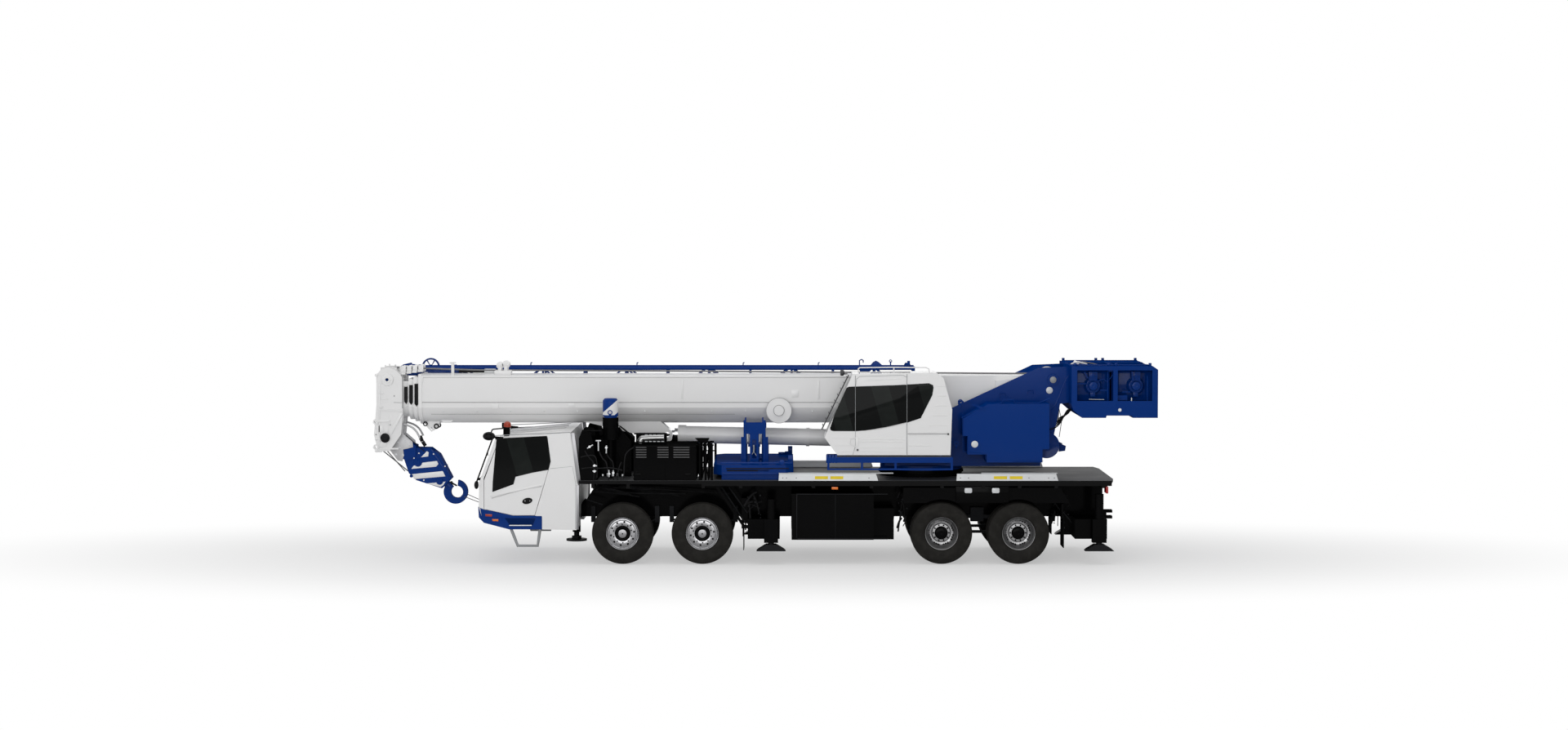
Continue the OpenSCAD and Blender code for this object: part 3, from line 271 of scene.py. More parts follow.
# %% Hand each part its finish
WEARS = {
    white_paint: "carrier_cab cab_door_left cab_door_right operator_cab operator_door boom_base "
                 "boom_section_2 boom_section_3 boom_tip luffing_barrel",
    blue_paint: "turntable side_covers winch_frame counterweight stowed_hook cab_walkway fly_jib hook_block "
                "front_bumper winch_drums",
    deck_tread: "deck",
    black_paint: "chassis fenders side_boxes engine_housing deck_stands outrigger_beam_1l outrigger_beam_1r "
                 "outrigger_beam_2l outrigger_beam_2r slew_ring cab_mirrors",
    dark_steel: "axles_front axles_rear knuckle_1l knuckle_1r knuckle_2l knuckle_2r outrigger_jack_1l "
                "outrigger_jack_1r outrigger_jack_2l outrigger_jack_2r front_jack",
    iron: "engine_block",
    board_metal: "deck_boards",
    exhaust_steel: "exhaust_pipe",
    amber_plastic: "carrier_lamps",
    tinted_glass: "cab_glass operator_glass",
    cabin_plastic: "cab_interior operator_seat",
    chrome: "luffing_rod",
    tyre_rubber: "wheel_1l wheel_1r wheel_2l wheel_2r wheel_3l wheel_3r wheel_4l wheel_4r",
}
for wear, names in WEARS.items():
    for name in names.split():
        slots = NODES[name].material_slots
        for slot in slots:
            slot.material = wear
print("bare parts left:", sorted(set(NODES) - {n for names in WEARS.values() for n in names.split()}))

# %% [markdown]
# ## The camera, the light and the floor
# The portrait was taken from far away with a long lens, from a little above the boom and looking down by
# less than three degrees. The camera comes first, because every later choice is judged through it. Soft
# lamps overhead and in front imitate a studio, and the floor shows white to the camera but still keeps
# the crane's shadow.

# %% Camera
CAMERA_X, CAMERA_AWAY, CAMERA_Z = 0.395, 50, 5.966
TILT = math.radians(2.75)
bpy.ops.object.select_all(action="DESELECT")
bpy.ops.object.camera_add(location=(CAMERA_X, -CAMERA_AWAY, CAMERA_Z),
                          rotation=(math.pi / 2 - TILT, 0, 0))
camera = bpy.context.active_object
camera.name = "portrait_camera"
camera.data.sensor_width = 36
camera.data.lens = 61.67
camera.data.clip_end = 400
bpy.context.scene.camera = camera
bpy.context.scene.view_settings.view_transform = "Standard"
print("camera at", tuple(camera.location))

# %% Lamps
def softbox(name, place, aim, size, watts):
    bpy.ops.object.select_all(action="DESELECT")
    bpy.ops.object.light_add(type="AREA", location=place)
    lamp = bpy.context.active_object
    lamp.name = name
    lamp.data.shape, lamp.data.size, lamp.data.size_y = "RECTANGLE", size[0], size[1]
    lamp.data.energy = watts
    lamp.rotation_euler = (Vector(aim) - Vector(place)).to_track_quat("-Z", "Y").to_euler()
    return lamp


softbox("overhead", (-1, -2, 15), (0, 0, 0), (24, 12), 600)
softbox("front_fill", (-3, -22, 6.5), (0, 0, 1.6), (22, 9), 1300)
softbox("back_rim", (4, 18, 9), (0, 0, 2), (18, 6), 380)
softbox("nose_light", (-20, -6, 6), (-3, 0, 2), (8, 6), 200)

# %% A white room that keeps the shadow
world = bpy.data.worlds.new("studio")
bpy.context.scene.world = world
world.use_nodes = True
sky = world.node_tree
background = sky.nodes["Background"]
rays = sky.nodes.new("ShaderNodeLightPath")
seen = sky.nodes.new("ShaderNodeMath")
seen.operation, seen.use_clamp = "ADD", True
also = sky.nodes.new("ShaderNodeMath")
also.operation, also.use_clamp = "ADD", True
level = sky.nodes.new("ShaderNodeMapRange")
sky.links.new(rays.outputs["Is Camera Ray"], seen.inputs[0])
sky.links.new(rays.outputs["Is Glossy Ray"], seen.inputs[1])
sky.links.new(seen.outputs[0], also.inputs[0])
sky.links.new(rays.outputs["Is Transmission Ray"], also.inputs[1])
sky.links.new(also.outputs[0], level.inputs["Value"])
level.inputs["To Min"].default_value = 0.43
level.inputs["To Max"].default_value = 1.0
sky.links.new(level.outputs[0], background.inputs["Strength"])
background.inputs["Color"].default_value = (1, 1, 1, 1)

bpy.ops.object.select_all(action="DESELECT")
bpy.ops.mesh.primitive_plane_add(size=240, location=(0, 0, -0.001))
floor = bpy.context.active_object
floor.name = "studio_floor"
ground = Finish("studio_floor", (0.9, 0.9, 0.9), 0.9)
ground.set("Base Color", (0.86, 0.86, 0.86, 1))
glow = ground.node("ShaderNodeEmission", inputs={"Color": (1, 1, 1, 1), "Strength": 1.0})
under = ground.place()
near = ground.node("ShaderNodeVectorMath", {"operation": "MULTIPLY"}, {0: under, 1: (0.085, 0.2, 0)})
reach = ground.node("ShaderNodeVectorMath", {"operation": "LENGTH"}, {0: near}, output=1)
faded = ground.node("ShaderNodeMapRange", {"interpolation_type": "SMOOTHSTEP"},
                    {0: reach, 1: 0.55, 2: 1.5, 3: 0.0, 4: 1.0})
path = ground.node("ShaderNodeLightPath", output=0)
faded = (faded * 0.55 + 0.45) * path
mixer = ground.node("ShaderNodeMixShader", inputs={0: faded})
ground.tree.links.new(ground.shader.outputs[0], mixer.socket.node.inputs[1])
ground.tree.links.new(glow.socket, mixer.socket.node.inputs[2])
ground.tree.links.new(mixer.socket, ground.tree.nodes["Material Output"].inputs[0])
floor.data.materials.append(ground.material)
print("floor fades to white beyond the crane's shadow")

# %% [markdown]
# ## A small workbench
# Nearly all small fittings on a crane are sawn plate, round bar, bent pipe or turned discs. So there is
# one helper for each: a block, a bar, an outlined plate, a turned shape and a pipe.

# %% Blocks, bars and plates
def clear():
    bpy.ops.object.select_all(action="DESELECT")


def block(x, y, z):
    clear()
    bpy.ops.mesh.primitive_cube_add(size=1, location=[(a + b) / 2 for a, b in (x, y, z)],
                                    scale=[abs(b - a) for a, b in (x, y, z)])
    return bpy.context.active_object


def bar(start, end, radius, sides=16):
    """A round bar from start to end."""
    clear()
    start, end = Vector(start), Vector(end)
    turn = (end - start).to_track_quat("Z", "Y").to_euler()
    bpy.ops.mesh.primitive_cone_add(vertices=sides, radius1=radius, radius2=radius,
                                    depth=(end - start).length, location=(start + end) / 2, rotation=turn)
    return bpy.context.active_object


def plate(outline, y0, y1):
    """An outline in X and Z, extruded across the crane from y0 to y1."""
    clear()
    bpy.ops.mesh.primitive_circle_add(vertices=len(outline), fill_type="NGON")
    piece = bpy.context.active_object
    for corner, (x, z) in zip(piece.data.vertices, outline):
        corner.co = (x, y0, z)
    bpy.ops.object.mode_set(mode="EDIT")
    bpy.ops.mesh.select_all(action="SELECT")
    bpy.ops.mesh.extrude_region_move(TRANSFORM_OT_translate={"value": (0, y1 - y0, 0)})
    bpy.ops.mesh.select_all(action="SELECT")
    bpy.ops.mesh.normals_make_consistent(inside=False)
    bpy.ops.object.mode_set(mode="OBJECT")
    return piece


def sawn(outline, x0, x1):
    """An outline in Y and Z, extruded along the crane from x0 to x1."""
    piece = plate(outline, x0, x1)
    for corner in piece.data.vertices:
        x, y, z = corner.co
        corner.co = (y, x, z)
    clear()
    piece.select_set(True)
    bpy.context.view_layer.objects.active = piece
    bpy.ops.object.mode_set(mode="EDIT")
    bpy.ops.mesh.select_all(action="SELECT")
    bpy.ops.mesh.normals_make_consistent(inside=False)
    bpy.ops.object.mode_set(mode="OBJECT")
    return piece


# %% Turned shapes and pipes
def turned(profile, centre, steps=48, axis=(0, 1, 0)):
    """A closed profile of (radius, distance along the axis), spun round the axis."""
    clear()
    bpy.ops.mesh.primitive_circle_add(vertices=len(profile), fill_type="NOTHING")
    piece = bpy.context.active_object
    centre, axis = Vector(centre), Vector(axis)
    side = Vector((1, 0, 0)) if abs(axis.x) < 0.5 else Vector((0, 1, 0))
    for corner, (radius, out) in zip(piece.data.vertices, profile):
        corner.co = centre + side * radius + axis * out
    bpy.ops.object.mode_set(mode="EDIT")
    bpy.ops.mesh.select_all(action="SELECT")
    bpy.ops.mesh.spin(steps=steps, angle=2 * math.pi, center=centre, axis=axis)
    bpy.ops.mesh.select_all(action="SELECT")
    bpy.ops.mesh.remove_doubles(threshold=0.0002)
    bpy.ops.mesh.normals_make_consistent(inside=False)
    bpy.ops.object.mode_set(mode="OBJECT")
    return piece


def pipe(points, radius, sides=3, bend=True):
    """A pipe or hose through the points: smooth when bend is true, else mitred."""
    clear()
    kind = "NURBS" if bend else "POLY"
    curve = bpy.data.curves.new("run", "CURVE")
    curve.dimensions = "3D"
    curve.bevel_depth, curve.bevel_resolution, curve.use_fill_caps = radius, sides, True
    curve.resolution_u = 6
    spline = curve.splines.new(kind)
    spline.points.add(len(points) - 1)
    for knot, place in zip(spline.points, points):
        knot.co = (*place, 1)
    if bend:
        spline.order_u, spline.use_endpoint_u = 3, True
    piece = bpy.data.objects.new("run", curve)
    bpy.context.collection.objects.link(piece)
    piece.select_set(True)
    bpy.context.view_layer.objects.active = piece
    bpy.ops.object.convert(target="MESH")
    return bpy.context.active_object


def finish(name, parts, paint, body, edge=0.0, smooth=35):
    parts = parts if isinstance(parts, list) else [parts]
    clear()
    for part in parts:
        part.select_set(True)
    piece = parts[0]
    bpy.context.view_layer.objects.active = piece
    if len(parts) > 1:
        bpy.ops.object.join()
    piece = bpy.context.active_object
    bpy.ops.object.transform_apply(location=True, rotation=True, scale=True)
    piece.name = piece.data.name = name
    if edge:
        bpy.ops.object.modifier_add(type="BEVEL")
        piece.modifiers[-1].width = edge
        piece.modifiers[-1].segments = 2
        piece.modifiers[-1].limit_method = "ANGLE"
        bpy.ops.object.modifier_apply(modifier=piece.modifiers[-1].name)
    piece.data.materials.clear()
    piece.data.materials.append(paint)
    if smooth:
        bpy.ops.object.shade_smooth_by_angle(angle=math.radians(smooth))
    clear()
    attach(piece, body)
    return piece


def copied(piece, name, body, move=(0, 0, 0), mirror=False):
    """A copy with its own mesh, moved, or mirrored to the other side of the crane."""
    clear()
    twin = piece.copy()
    twin.data = piece.data.copy()
    twin.parent = None
    bpy.context.collection.objects.link(twin)
    twin.name = twin.data.name = name
    twin.select_set(True)
    bpy.context.view_layer.objects.active = twin
    for corner in twin.data.vertices:
        corner.co = Vector((corner.co.x, -corner.co.y if mirror else corner.co.y, corner.co.z)) + Vector(move)
    if mirror:
        bpy.ops.object.mode_set(mode="EDIT")
        bpy.ops.mesh.select_all(action="SELECT")
        bpy.ops.mesh.flip_normals()
        bpy.ops.object.mode_set(mode="OBJECT")
    clear()
    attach(twin, body)
    return twin


def both_sides(name, parts, paint, body, edge=0.0, smooth=35):
    left = finish(name + "_left", parts, paint, body, edge, smooth)
    return left, copied(left, name + "_right", body, mirror=True)


print("workbench ready")

# %% [markdown]
# ## Tyres with lugs on their shoulders
# A heavy truck tyre is a turned shape, so its section is spun round the axle. The tread then gets its
# lugs: on the shoulders every second step is pushed in by a centimetre, which leaves blocks of rubber
# between grooves. Pushing faces in keeps the tyre inside its real diameter, where added blocks would make
# it grow.

# %% One tyre, on the first axle
TYRE_R, TYRE_W, AXLE_Z = 0.5625, 0.312, 0.5625
AXLES = {"1": -2.540, "2": -1.090, "3": 3.260, "4": 4.660}
w, r = TYRE_W / 2, TYRE_R - 0.001
TREAD = [(r - .004, -.5 * w), (r - .012, -.47 * w), (r - .012, -.43 * w), (r - .001, -.40 * w),
         (r, -.05 * w), (r - .011, -.03 * w), (r - .011, .03 * w), (r, .05 * w), (r - .001, .40 * w),
         (r - .012, .43 * w), (r - .012, .47 * w), (r - .004, .5 * w)]
SECTION = ([(.292, -.70 * w), (.318, -.83 * w), (.345, -.90 * w), (.38, -.965 * w), (.425, -.985 * w),
            (.478, -.975 * w), (.520, -.91 * w), (.548, -.82 * w)] + TREAD +
           [(.548, .82 * w), (.520, .91 * w), (.478, .975 * w), (.425, .985 * w), (.38, .965 * w),
            (.345, .90 * w), (.318, .83 * w), (.292, .70 * w)])
FRONT_Y = -1.264


def tyre(name, body, x, y):
    piece = turned(SECTION, (x, y, AXLE_Z), steps=112)
    for face in piece.data.polygons:
        middle = face.center - Vector((x, y, AXLE_Z))
        radius = math.hypot(middle.x, middle.z)
        step = int(round(math.degrees(math.atan2(middle.z, middle.x)) / (360 / 112) - 0.5))
        face.select = radius > 0.53 and abs(middle.y) > 0.52 * w and step % 2 == 0
    bpy.ops.object.mode_set(mode="EDIT")
    bpy.ops.mesh.extrude_region_shrink_fatten(TRANSFORM_OT_shrink_fatten={"value": -0.011})
    bpy.ops.object.mode_set(mode="OBJECT")
    return finish(name, piece, tyre_rubber, body, smooth=40)


first_tyre = tyre("tyre_1l", "wheel_1l", AXLES["1"], FRONT_Y)
print("tyre faces", len(first_tyre.data.polygons))

# %% [markdown]
# ## Bright rims for the steered wheels
# The steered wheels wear polished alloy rims: a rolled flange, a shallow bowl, a flat disc with ten
# ventilation holes, ten smaller ones for the nuts and a cap over the hub. The holes are black plugs of
# painted shade that stand a hair proud of the metal: from a distance they read as dark openings, and the
# polished disc keeps one unbroken surface.

# %% Alloy rim with its holes
def circle_of(count, radius, phase=0.0):
    return [(radius * math.cos(2 * math.pi * (i + phase) / count),
             radius * math.sin(2 * math.pi * (i + phase) / count)) for i in range(count)]


def drill(piece, tool):
    """Cuts the tool out of the piece."""
    clear()
    tool.select_set(True)
    bpy.context.view_layer.objects.active = tool
    bpy.ops.object.transform_apply(location=True, rotation=True, scale=True)
    clear()
    piece.select_set(True)
    bpy.context.view_layer.objects.active = piece
    bpy.ops.object.modifier_add(type="BOOLEAN")
    piece.modifiers[-1].object = tool
    piece.modifiers[-1].operation = "DIFFERENCE"
    bpy.ops.object.modifier_apply(modifier=piece.modifiers[-1].name)
    bpy.data.objects.remove(tool)


def front_rim(x, y, s):
    """s is -1 on the left: distances along the axle are measured outwards."""
    at = lambda out: y + s * out
    rim = turned([(.300, s * .124), (.296, s * .130), (.290, s * .126), (.284, s * .108), (.276, s * .098),
                  (.262, s * .088), (.250, s * .090), (.240, s * .102), (.226, s * .108), (.150, s * .110),
                  (.138, s * .104), (.100, s * .100), (.100, s * .070), (.255, s * .068), (.268, s * .040),
                  (.272, s * -.100), (.300, s * -.118), (.302, s * -.110), (.280, s * -.096),
                  (.280, s * .096)], (x, y, AXLE_Z), steps=80)
    # Black plugs of painted shade, where the holes would show the dark inside of the wheel.
    holes = [bar((x + a, at(.05), AXLE_Z + b), (x + a, at(.1105), AXLE_Z + b), .0185, 16)
             for a, b in circle_of(10, .213, .25)]
    holes += [bar((x + a, at(.05), AXLE_Z + b), (x + a, at(.1115), AXLE_Z + b), .013, 12)
              for a, b in circle_of(10, .168, .55)]
    return rim, holes


rim, plugs = front_rim(AXLES["1"], FRONT_Y, -1)
rim_1l = finish("rim_1l", rim, aluminium, "wheel_1l", smooth=32)
plugs_1l = finish("rim_holes_1l", plugs, black_paint, "wheel_1l", smooth=40)
hub_ring = turned([(.140, -.100), (.136, -.124), (.122, -.132), (.092, -.130), (.084, -.112), (.084, -.098)],
                  (AXLES["1"], FRONT_Y, AXLE_Z), 48)
hub_1l = finish("hub_ring_1l", [hub_ring] + [
    bar((AXLES["1"], FRONT_Y - .144, AXLE_Z), (AXLES["1"], FRONT_Y - .1475, AXLE_Z), .014, 12)],
    black_paint, "wheel_1l", 0.0012)
cap_1l = finish("hub_cap_1l", turned([(.0005, -.144), (.05, -.142), (.074, -.136), (.083, -.122),
                                      (.084, -.104), (.0005, -.104)], (AXLES["1"], FRONT_Y, AXLE_Z), 40),
                strip_metal, "wheel_1l")
print("steered wheel dressed")

# %% Copy the steered wheel to its three places
for key in ("2l", "1r", "2r"):
    shift = (AXLES[key[0]] - AXLES["1"], 0, 0)
    for piece in (first_tyre, rim_1l, plugs_1l, hub_1l, cap_1l):
        copied(piece, piece.name.replace("1l", key), f"wheel_{key}", shift, mirror=key[1] == "r")
for key in ("1l", "1r", "2l", "2r"):
    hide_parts(f"wheel_{key}")
print("four steered wheels")

# %% [markdown]
# ## Twin wheels with dished steel rims
# The driven wheels are pairs of steel rims bolted back to back, so the outer one is deeply dished. Eight
# hand holes between its spokes let a fitter reach the valves. The hand holes are cut as rounded slots,
# and the black drive hub stands out in the middle.

# %% One pair of driven wheels
TWIN_Y, PITCH = -1.088, 0.176
X3 = AXLES["3"]


def twin_rim(x, y, s):
    rim = turned([(.300, s * .124), (.297, s * .130), (.291, s * .126), (.287, s * .106), (.276, s * .094),
                  (.270, s * .060), (.262, s * .006), (.246, s * -.030), (.215, s * -.052), (.180, s * -.056),
                  (.160, s * -.030), (.120, s * -.026), (.120, s * -.046), (.180, s * -.078),
                  (.215, s * -.074), (.268, s * -.052), (.272, s * -.100), (.300, s * -.118),
                  (.302, s * -.110), (.281, s * -.096), (.281, s * .092)], (x, y, AXLE_Z), steps=80)
    cutters = []
    for i in range(8):
        angle = 2 * math.pi * (i + 0.5) / 8
        along = Vector((-math.sin(angle), 0, math.cos(angle)))
        out = Vector((math.cos(angle), 0, math.sin(angle)))
        hand_hole = Vector((x, y, AXLE_Z)) + out * 0.218
        for place in (-.042, 0, .042):
            cutters.append(bar(hand_hole + along * place + Vector((0, -.1, 0)),
                               hand_hole + along * place + Vector((0, .1, 0)), .019, 12))
    for cutter in cutters:
        drill(rim, cutter)
    return rim


outer = finish("twin_rim_3l", [twin_rim(X3, TWIN_Y - PITCH, -1)], wheel_silver, "wheel_3l", smooth=32)
hub = turned([(.0005, -.258), (.07, -.256), (.104, -.246), (.112, -.200), (.118, -.190), (.124, -.100),
              (.124, .1), (.0005, .1)], (X3, TWIN_Y, AXLE_Z), 48)
studs = [bar((X3 + a, TWIN_Y - .140, AXLE_Z + b), (X3 + a, TWIN_Y - .176, AXLE_Z + b), .015, 6)
         for a, b in circle_of(10, .143)]
drive_hub = finish("drive_hub_3l", [hub] + studs, black_paint, "wheel_3l", 0.0012)
outer_tyre = tyre("twin_tyre_outer_3l", "wheel_3l", X3, TWIN_Y - PITCH)
inner_tyre = copied(outer_tyre, "twin_tyre_inner_3l", "wheel_3l", (0, 2 * PITCH, 0))
inner_rim = turned([(.300, -.124), (.281, -.092), (.272, .09), (.300, .124), (.281, .11), (.262, .09),
                    (.262, -.09)], (X3, TWIN_Y + PITCH, AXLE_Z), 64)
inner_disc = turned([(.262, -.07), (.262, -.055), (.12, -.075), (.12, -.095)],
                    (X3, TWIN_Y + PITCH, AXLE_Z), 64)
inner_3l = finish("twin_rim_inner_3l", [inner_rim, inner_disc], wheel_silver, "wheel_3l", smooth=32)
for key in ("4l", "3r", "4r"):
    shift = (AXLES[key[0]] - X3, 0, 0)
    for piece in (outer_tyre, inner_tyre, outer, inner_3l, drive_hub):
        copied(piece, piece.name.replace("3l", key), f"wheel_{key}", shift, mirror=key[1] == "r")
for key in ("3l", "3r", "4l", "4r"):
    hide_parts(f"wheel_{key}")
print("driven wheels dressed")

# %% [markdown]
# ## Where the portrait shows a fitting
# Many small fittings can be placed one by one: the portrait tells in which direction they are, and the crane
# tells how far away their surface is. The helper below follows the camera's ray through a point of the
# portrait to an upright plane at the side of the crane, and gives the X and Z where it meets that plane.
# FOCUS is the length of the lens in points of the portrait, and the view's middle is its point (960, 447).

# %% From a point of the portrait to the crane
FOCUS = 3289.0
MIDDLE_X, MIDDLE_Y = 960, 447


def spot(px, py, y):
    up = (MIDDLE_Y - py) / FOCUS
    reach = (CAMERA_AWAY + y) / (math.cos(TILT) + up * math.sin(TILT))
    x = CAMERA_X + reach * (px - MIDDLE_X) / FOCUS
    z = CAMERA_Z + reach * (up * math.cos(TILT) - math.sin(TILT))
    return x, z


def shape(points, y, thick):
    """A plate whose corners are points of the portrait, standing out from the plane y towards the viewer."""
    return plate([spot(px, py, y) for px, py in points], y, y - thick)


def oblong(x0, y0, x1, y1, y, thick):
    """A plate with upright and level edges, from one corner of the portrait to the opposite one."""
    return shape(((x0, y0), (x1, y0), (x1, y1), (x0, y1)), y, thick)


def bolts(points, y, radius, thick, sides=10):
    """Round heads that stand out from the plane y."""
    heads = []
    for px, py in points:
        x, z = spot(px, py, y)
        heads.append(bar((x, y + 0.002, z), (x, y - thick, z), radius, sides))
    return heads


def line(points, y, radius, bend=False, sides=2):
    """A thin bar or seam along points of the portrait, in the plane y."""
    places = [spot(px, py, y) for px, py in points]
    return pipe([(x, y, z) for x, z in places], radius, sides, bend)


print("a point of the portrait on the boom's side:", spot(900, 490, -0.43))

# %% [markdown]
# ## Seams, bands and bolts of the boom
# The boom is folded from plate, so long weld seams run along its side and a flat strip closes its upper
# edge; dark lines of painted shade follow the seams. The four tubes end in collars, and beside each collar
# a black strip of painted shadow lies in the gap. The collars and these strips are thin plates that lie
# against the sides, so they go in and out with their own tube.

# %% Boom side
SIDE = -0.431
strip = block((-6.30, 2.55), (SIDE - .004, SIDE + .01), (3.352, 3.392))
# Three dark grey lines of painted shade: two along the side's seams, one along the edge where the side turns
# into the belly.
seams = [line([(514, 492.8), (1035, 492.8)], SIDE, .006), line([(528, 507.2), (900, 507.2)], SIDE, .004),
         line([(512, 462.5), (1050, 462.5)], SIDE, .003)]
ties = [bar((x, SIDE, z), (x, SIDE, z + .42), .003, 6) for x, z in ((-1.49, 2.9), (1.02, 2.9))]
both_sides("boom_side_strip", [strip], white_paint, "boom_base", .002)
both_sides("boom_side_ties", ties, white_paint, "boom_base")
both_sides("boom_side_welds", seams, seam_shade, "boom_base")
plates = [oblong(602, 494.4, 610.6, 500.6, SIDE, .010),
          oblong(696, 493.4, 704, 499, SIDE, .008),
          oblong(969, 477.6, 978, 486.6, SIDE, .008),
          oblong(514.4, 461, 518, 468.6, SIDE, .012),
          shape(((540, 514.6), (555, 514.6), (552, 517.6), (543, 517.6)), SIDE + .02, .03)]
both_sides("boom_side_plates", plates, white_paint, "boom_base", .003)
heads = [bar((-5.9 + i * .62, SIDE + .002, 2.728), (-5.9 + i * .62, SIDE - .006, 2.728), .012, 10)
         for i in range(13)]
both_sides("boom_side_bolts", heads, galvanised, "boom_base", .001)
guides = [block((x, x + .028), (SIDE - .012, SIDE), (2.96, 3.30)) for x in (-1.50, 1.02)]
both_sides("boom_guides", guides, white_paint, "boom_base", .003)
print("boom side dressed")

# %% Painted shadows beside the collars
# Black strips of painted shadow, in the gap beside each collar where the next tube goes in.
BANDS = {"boom_tip": ((495, 473.5), (499, 473.5), (499, 492), (497.5, 495), (495, 491.5)),
         "boom_section_3": ((501, 471.5), (505.5, 471.5), (505.5, 493), (503.8, 496), (501, 492.5)),
         "boom_section_2": ((507.5, 470), (512, 470), (512, 495), (510.2, 498), (507.5, 494.5))}
FACE = {"boom_tip": -.372, "boom_section_3": -.371, "boom_section_2": -.405}
for body, corners in BANDS.items():
    both_sides("wear_pad_" + body, shape(corners, FACE[body] + .004, .010), hose_rubber, body, .002)
ROLLERS = {"boom_tip": ((488, 458), (495.5, 449)), "boom_section_3": ((497, 456.5), (502.5, 448.5)),
           "boom_section_2": ((504, 455.5), (509.5, 448)), "boom_base": ((511, 454.5), (517, 447.5))}
for body, ((x0, y0), (x1, y1)) in ROLLERS.items():
    (a, c), (b, d) = spot(x0, y0, -.3), spot(x1, y1, -.3)
    forks = [block((a, b), (y, y + .018), (c - .02, d)) for y in (-.16, .14)]
    roller = bar(((a + b) / 2, -.15, d - .02), ((a + b) / 2, .15, d - .02), .026, 20)
    top = block((a, b), (-.24, .24), (c - .02, c + .012))
    finish("rope_roller_" + body, forks + [roller, top], white_paint, body, .003)
print("wear pads and rope rollers")

# %% [markdown]
# ## Ropes over the boom
# The hoist rope leaves its drum, crosses the rollers on top of the boom and dives over the head's sheaves
# to the hook block. A rope under load is a straight line, so each part of it is a thin bar. Its lay shows
# as a bump that winds round the bar.

# %% Wire rope
lay = Finish("wire_rope", (0.16, 0.16, 0.165), 0.5, 0.9)
wind = lay.node("ShaderNodeTexWave", {"wave_type": "BANDS", "bands_direction": "DIAGONAL"},
                {"Vector": lay.place(), "Scale": 55.0, "Distortion": 0.4, "Detail": 1.0}, output=1)
lay.relief(wind, 0.002, 0.8)
lay.set("Base Color", lay.blend(wind, (0.07, 0.07, 0.072), (0.25, 0.25, 0.26)))
wire_rope = lay.material

rope_over = [pipe([(x, y, z) for x, z in ((-6.87, 3.52), (-5.30, 3.47), (-2.0, 3.455), (5.70, 3.40))],
                  .010, 2, False) for y in (-.10, .09)]
finish("hoist_rope_over_boom", rope_over, wire_rope, "boom_base")
falls = []
for i, y in enumerate((-.10, -.035, .035, .10)):
    (a, b), (c, d) = spot(474 - 5 * (i % 2), 552, y), spot(496 + 4 * (i % 2), 577, y)
    falls.append(bar((a, y, b), (c, y, d), .010, 8))
finish("rope_falls", falls, wire_rope, "hook_block")
print("ropes laid")

# %% [markdown]
# ## What shows above the boom
# A stowed extension hangs at the far side of the boom, so only its upper edge shows: a head plate, hoops,
# feet, a black pad and a grey tray. On top of the boom a bracket with two rollers carries the rope, and a
# post stands beside it. Two dark rings show where the face of the hose reel steps back.

# %% Jib head, pad and tray on the far side
jib = [shape(((466, 456), (486.4, 451.4), (494, 446.2), (504, 443.9), (505, 445.6), (519, 447.2),
              (549, 448.2), (559.6, 450.6), (566, 454.4), (566, 460), (466, 460)), .52, .02),
       shape(((556, 446.6), (559.4, 446.2), (560, 451), (556, 451)), .52, .04)]
finish("jib_head_plate", jib, blue_paint, "boom_base", .003)
bumps = [line([(px, 447.4), (px, 444.6), (px + 1.6, 443.8)], .50, .010) for px in (650, 780, 910, 1002)]
bumps += [block((x, x + .12), (.50, .56), (3.50, 3.535)) for x in (-4.2, -2.3, -.4, 1.4)]
bumps += [line([(1052.4, 447), (1052.4, 441.4), (1055, 440.2), (1057, 441.4), (1057, 444)], .48, .011,
               False, 2),
          line([(1090.5, 447), (1090.5, 442.6)], .48, .012), line([(1112.6, 447), (1112.6, 442)], .48, .026),
          shape(((1066, 447), (1069, 443.4), (1072.6, 441.6), (1076, 443.4), (1080, 447)), .48, .03),
          turned([(.016, -.01), (.030, -.01), (.030, .01), (.016, .01)],
                 (spot(1090.5, 442.2, .48)[0], .48, spot(1090.5, 442.2, .48)[1]), 20)]
finish("jib_top_fittings", bumps, blue_paint, "boom_base", smooth=40)
pad = [oblong(561.8, 453.2, 593.2, 456.4, .42, .02)]
finish("jib_black_pad", pad, hose_rubber, "boom_base")
tray = [oblong(593.4, 451.6, 607.2, 457, .40, .04)]
finish("boom_grey_tray", tray, galvanised, "boom_base", .004)
print("jib head")

# %% Posts and brackets on the boom
bracket = [block((-4.965, -4.66), (-.34, -.08), (3.39, 3.474))]
for x, z, radius in ((-4.868, 3.570, .066), (-4.757, 3.588, .070)):
    bracket += [plate([(x - .035, 3.47), (x - .026, z), (x + .026, z), (x + .035, 3.47)], y, y + .014)
                for y in (-.33, -.11)]
    bracket += [bar((x, -.31, z), (x, -.12, z), radius, 32), bar((x, -.345, z), (x, -.085, z), .026, 20)]
finish("boom_rope_bracket", bracket, white_paint, "boom_base", .003)
post_x = spot(554.5, 459, -.36)[0]
post = [block((post_x - .025, post_x + .025), (-.40, -.33), (3.38, 3.615)),
        block((post_x - .055, post_x + .055), (-.415, -.315), (3.612, 3.635))]
finish("boom_stop_post", post, white_paint, "boom_base", .004)
REEL = (.301, -.5595, 2.75)
rings = [turned([(.094, 0), (.094, -.004), (.103, -.004), (.103, 0)], REEL, 48),
         turned([(.2365, .03), (.2365, -.0045), (.231, -.0045), (.231, 0)], REEL, 60)]
finish("reel_shade_rings", rings, seam_shade, "boom_base")
print("posts on the boom")

# %% [markdown]
# ## The boom's head
# The head holds two sets of sheaves between its cheeks. From the side only their ends show: a white boss
# with a blue pin and a circle of small bolts. Thin ribs and ledges stiffen the cheeks, and pins for the
# extension stand out at the front edge.

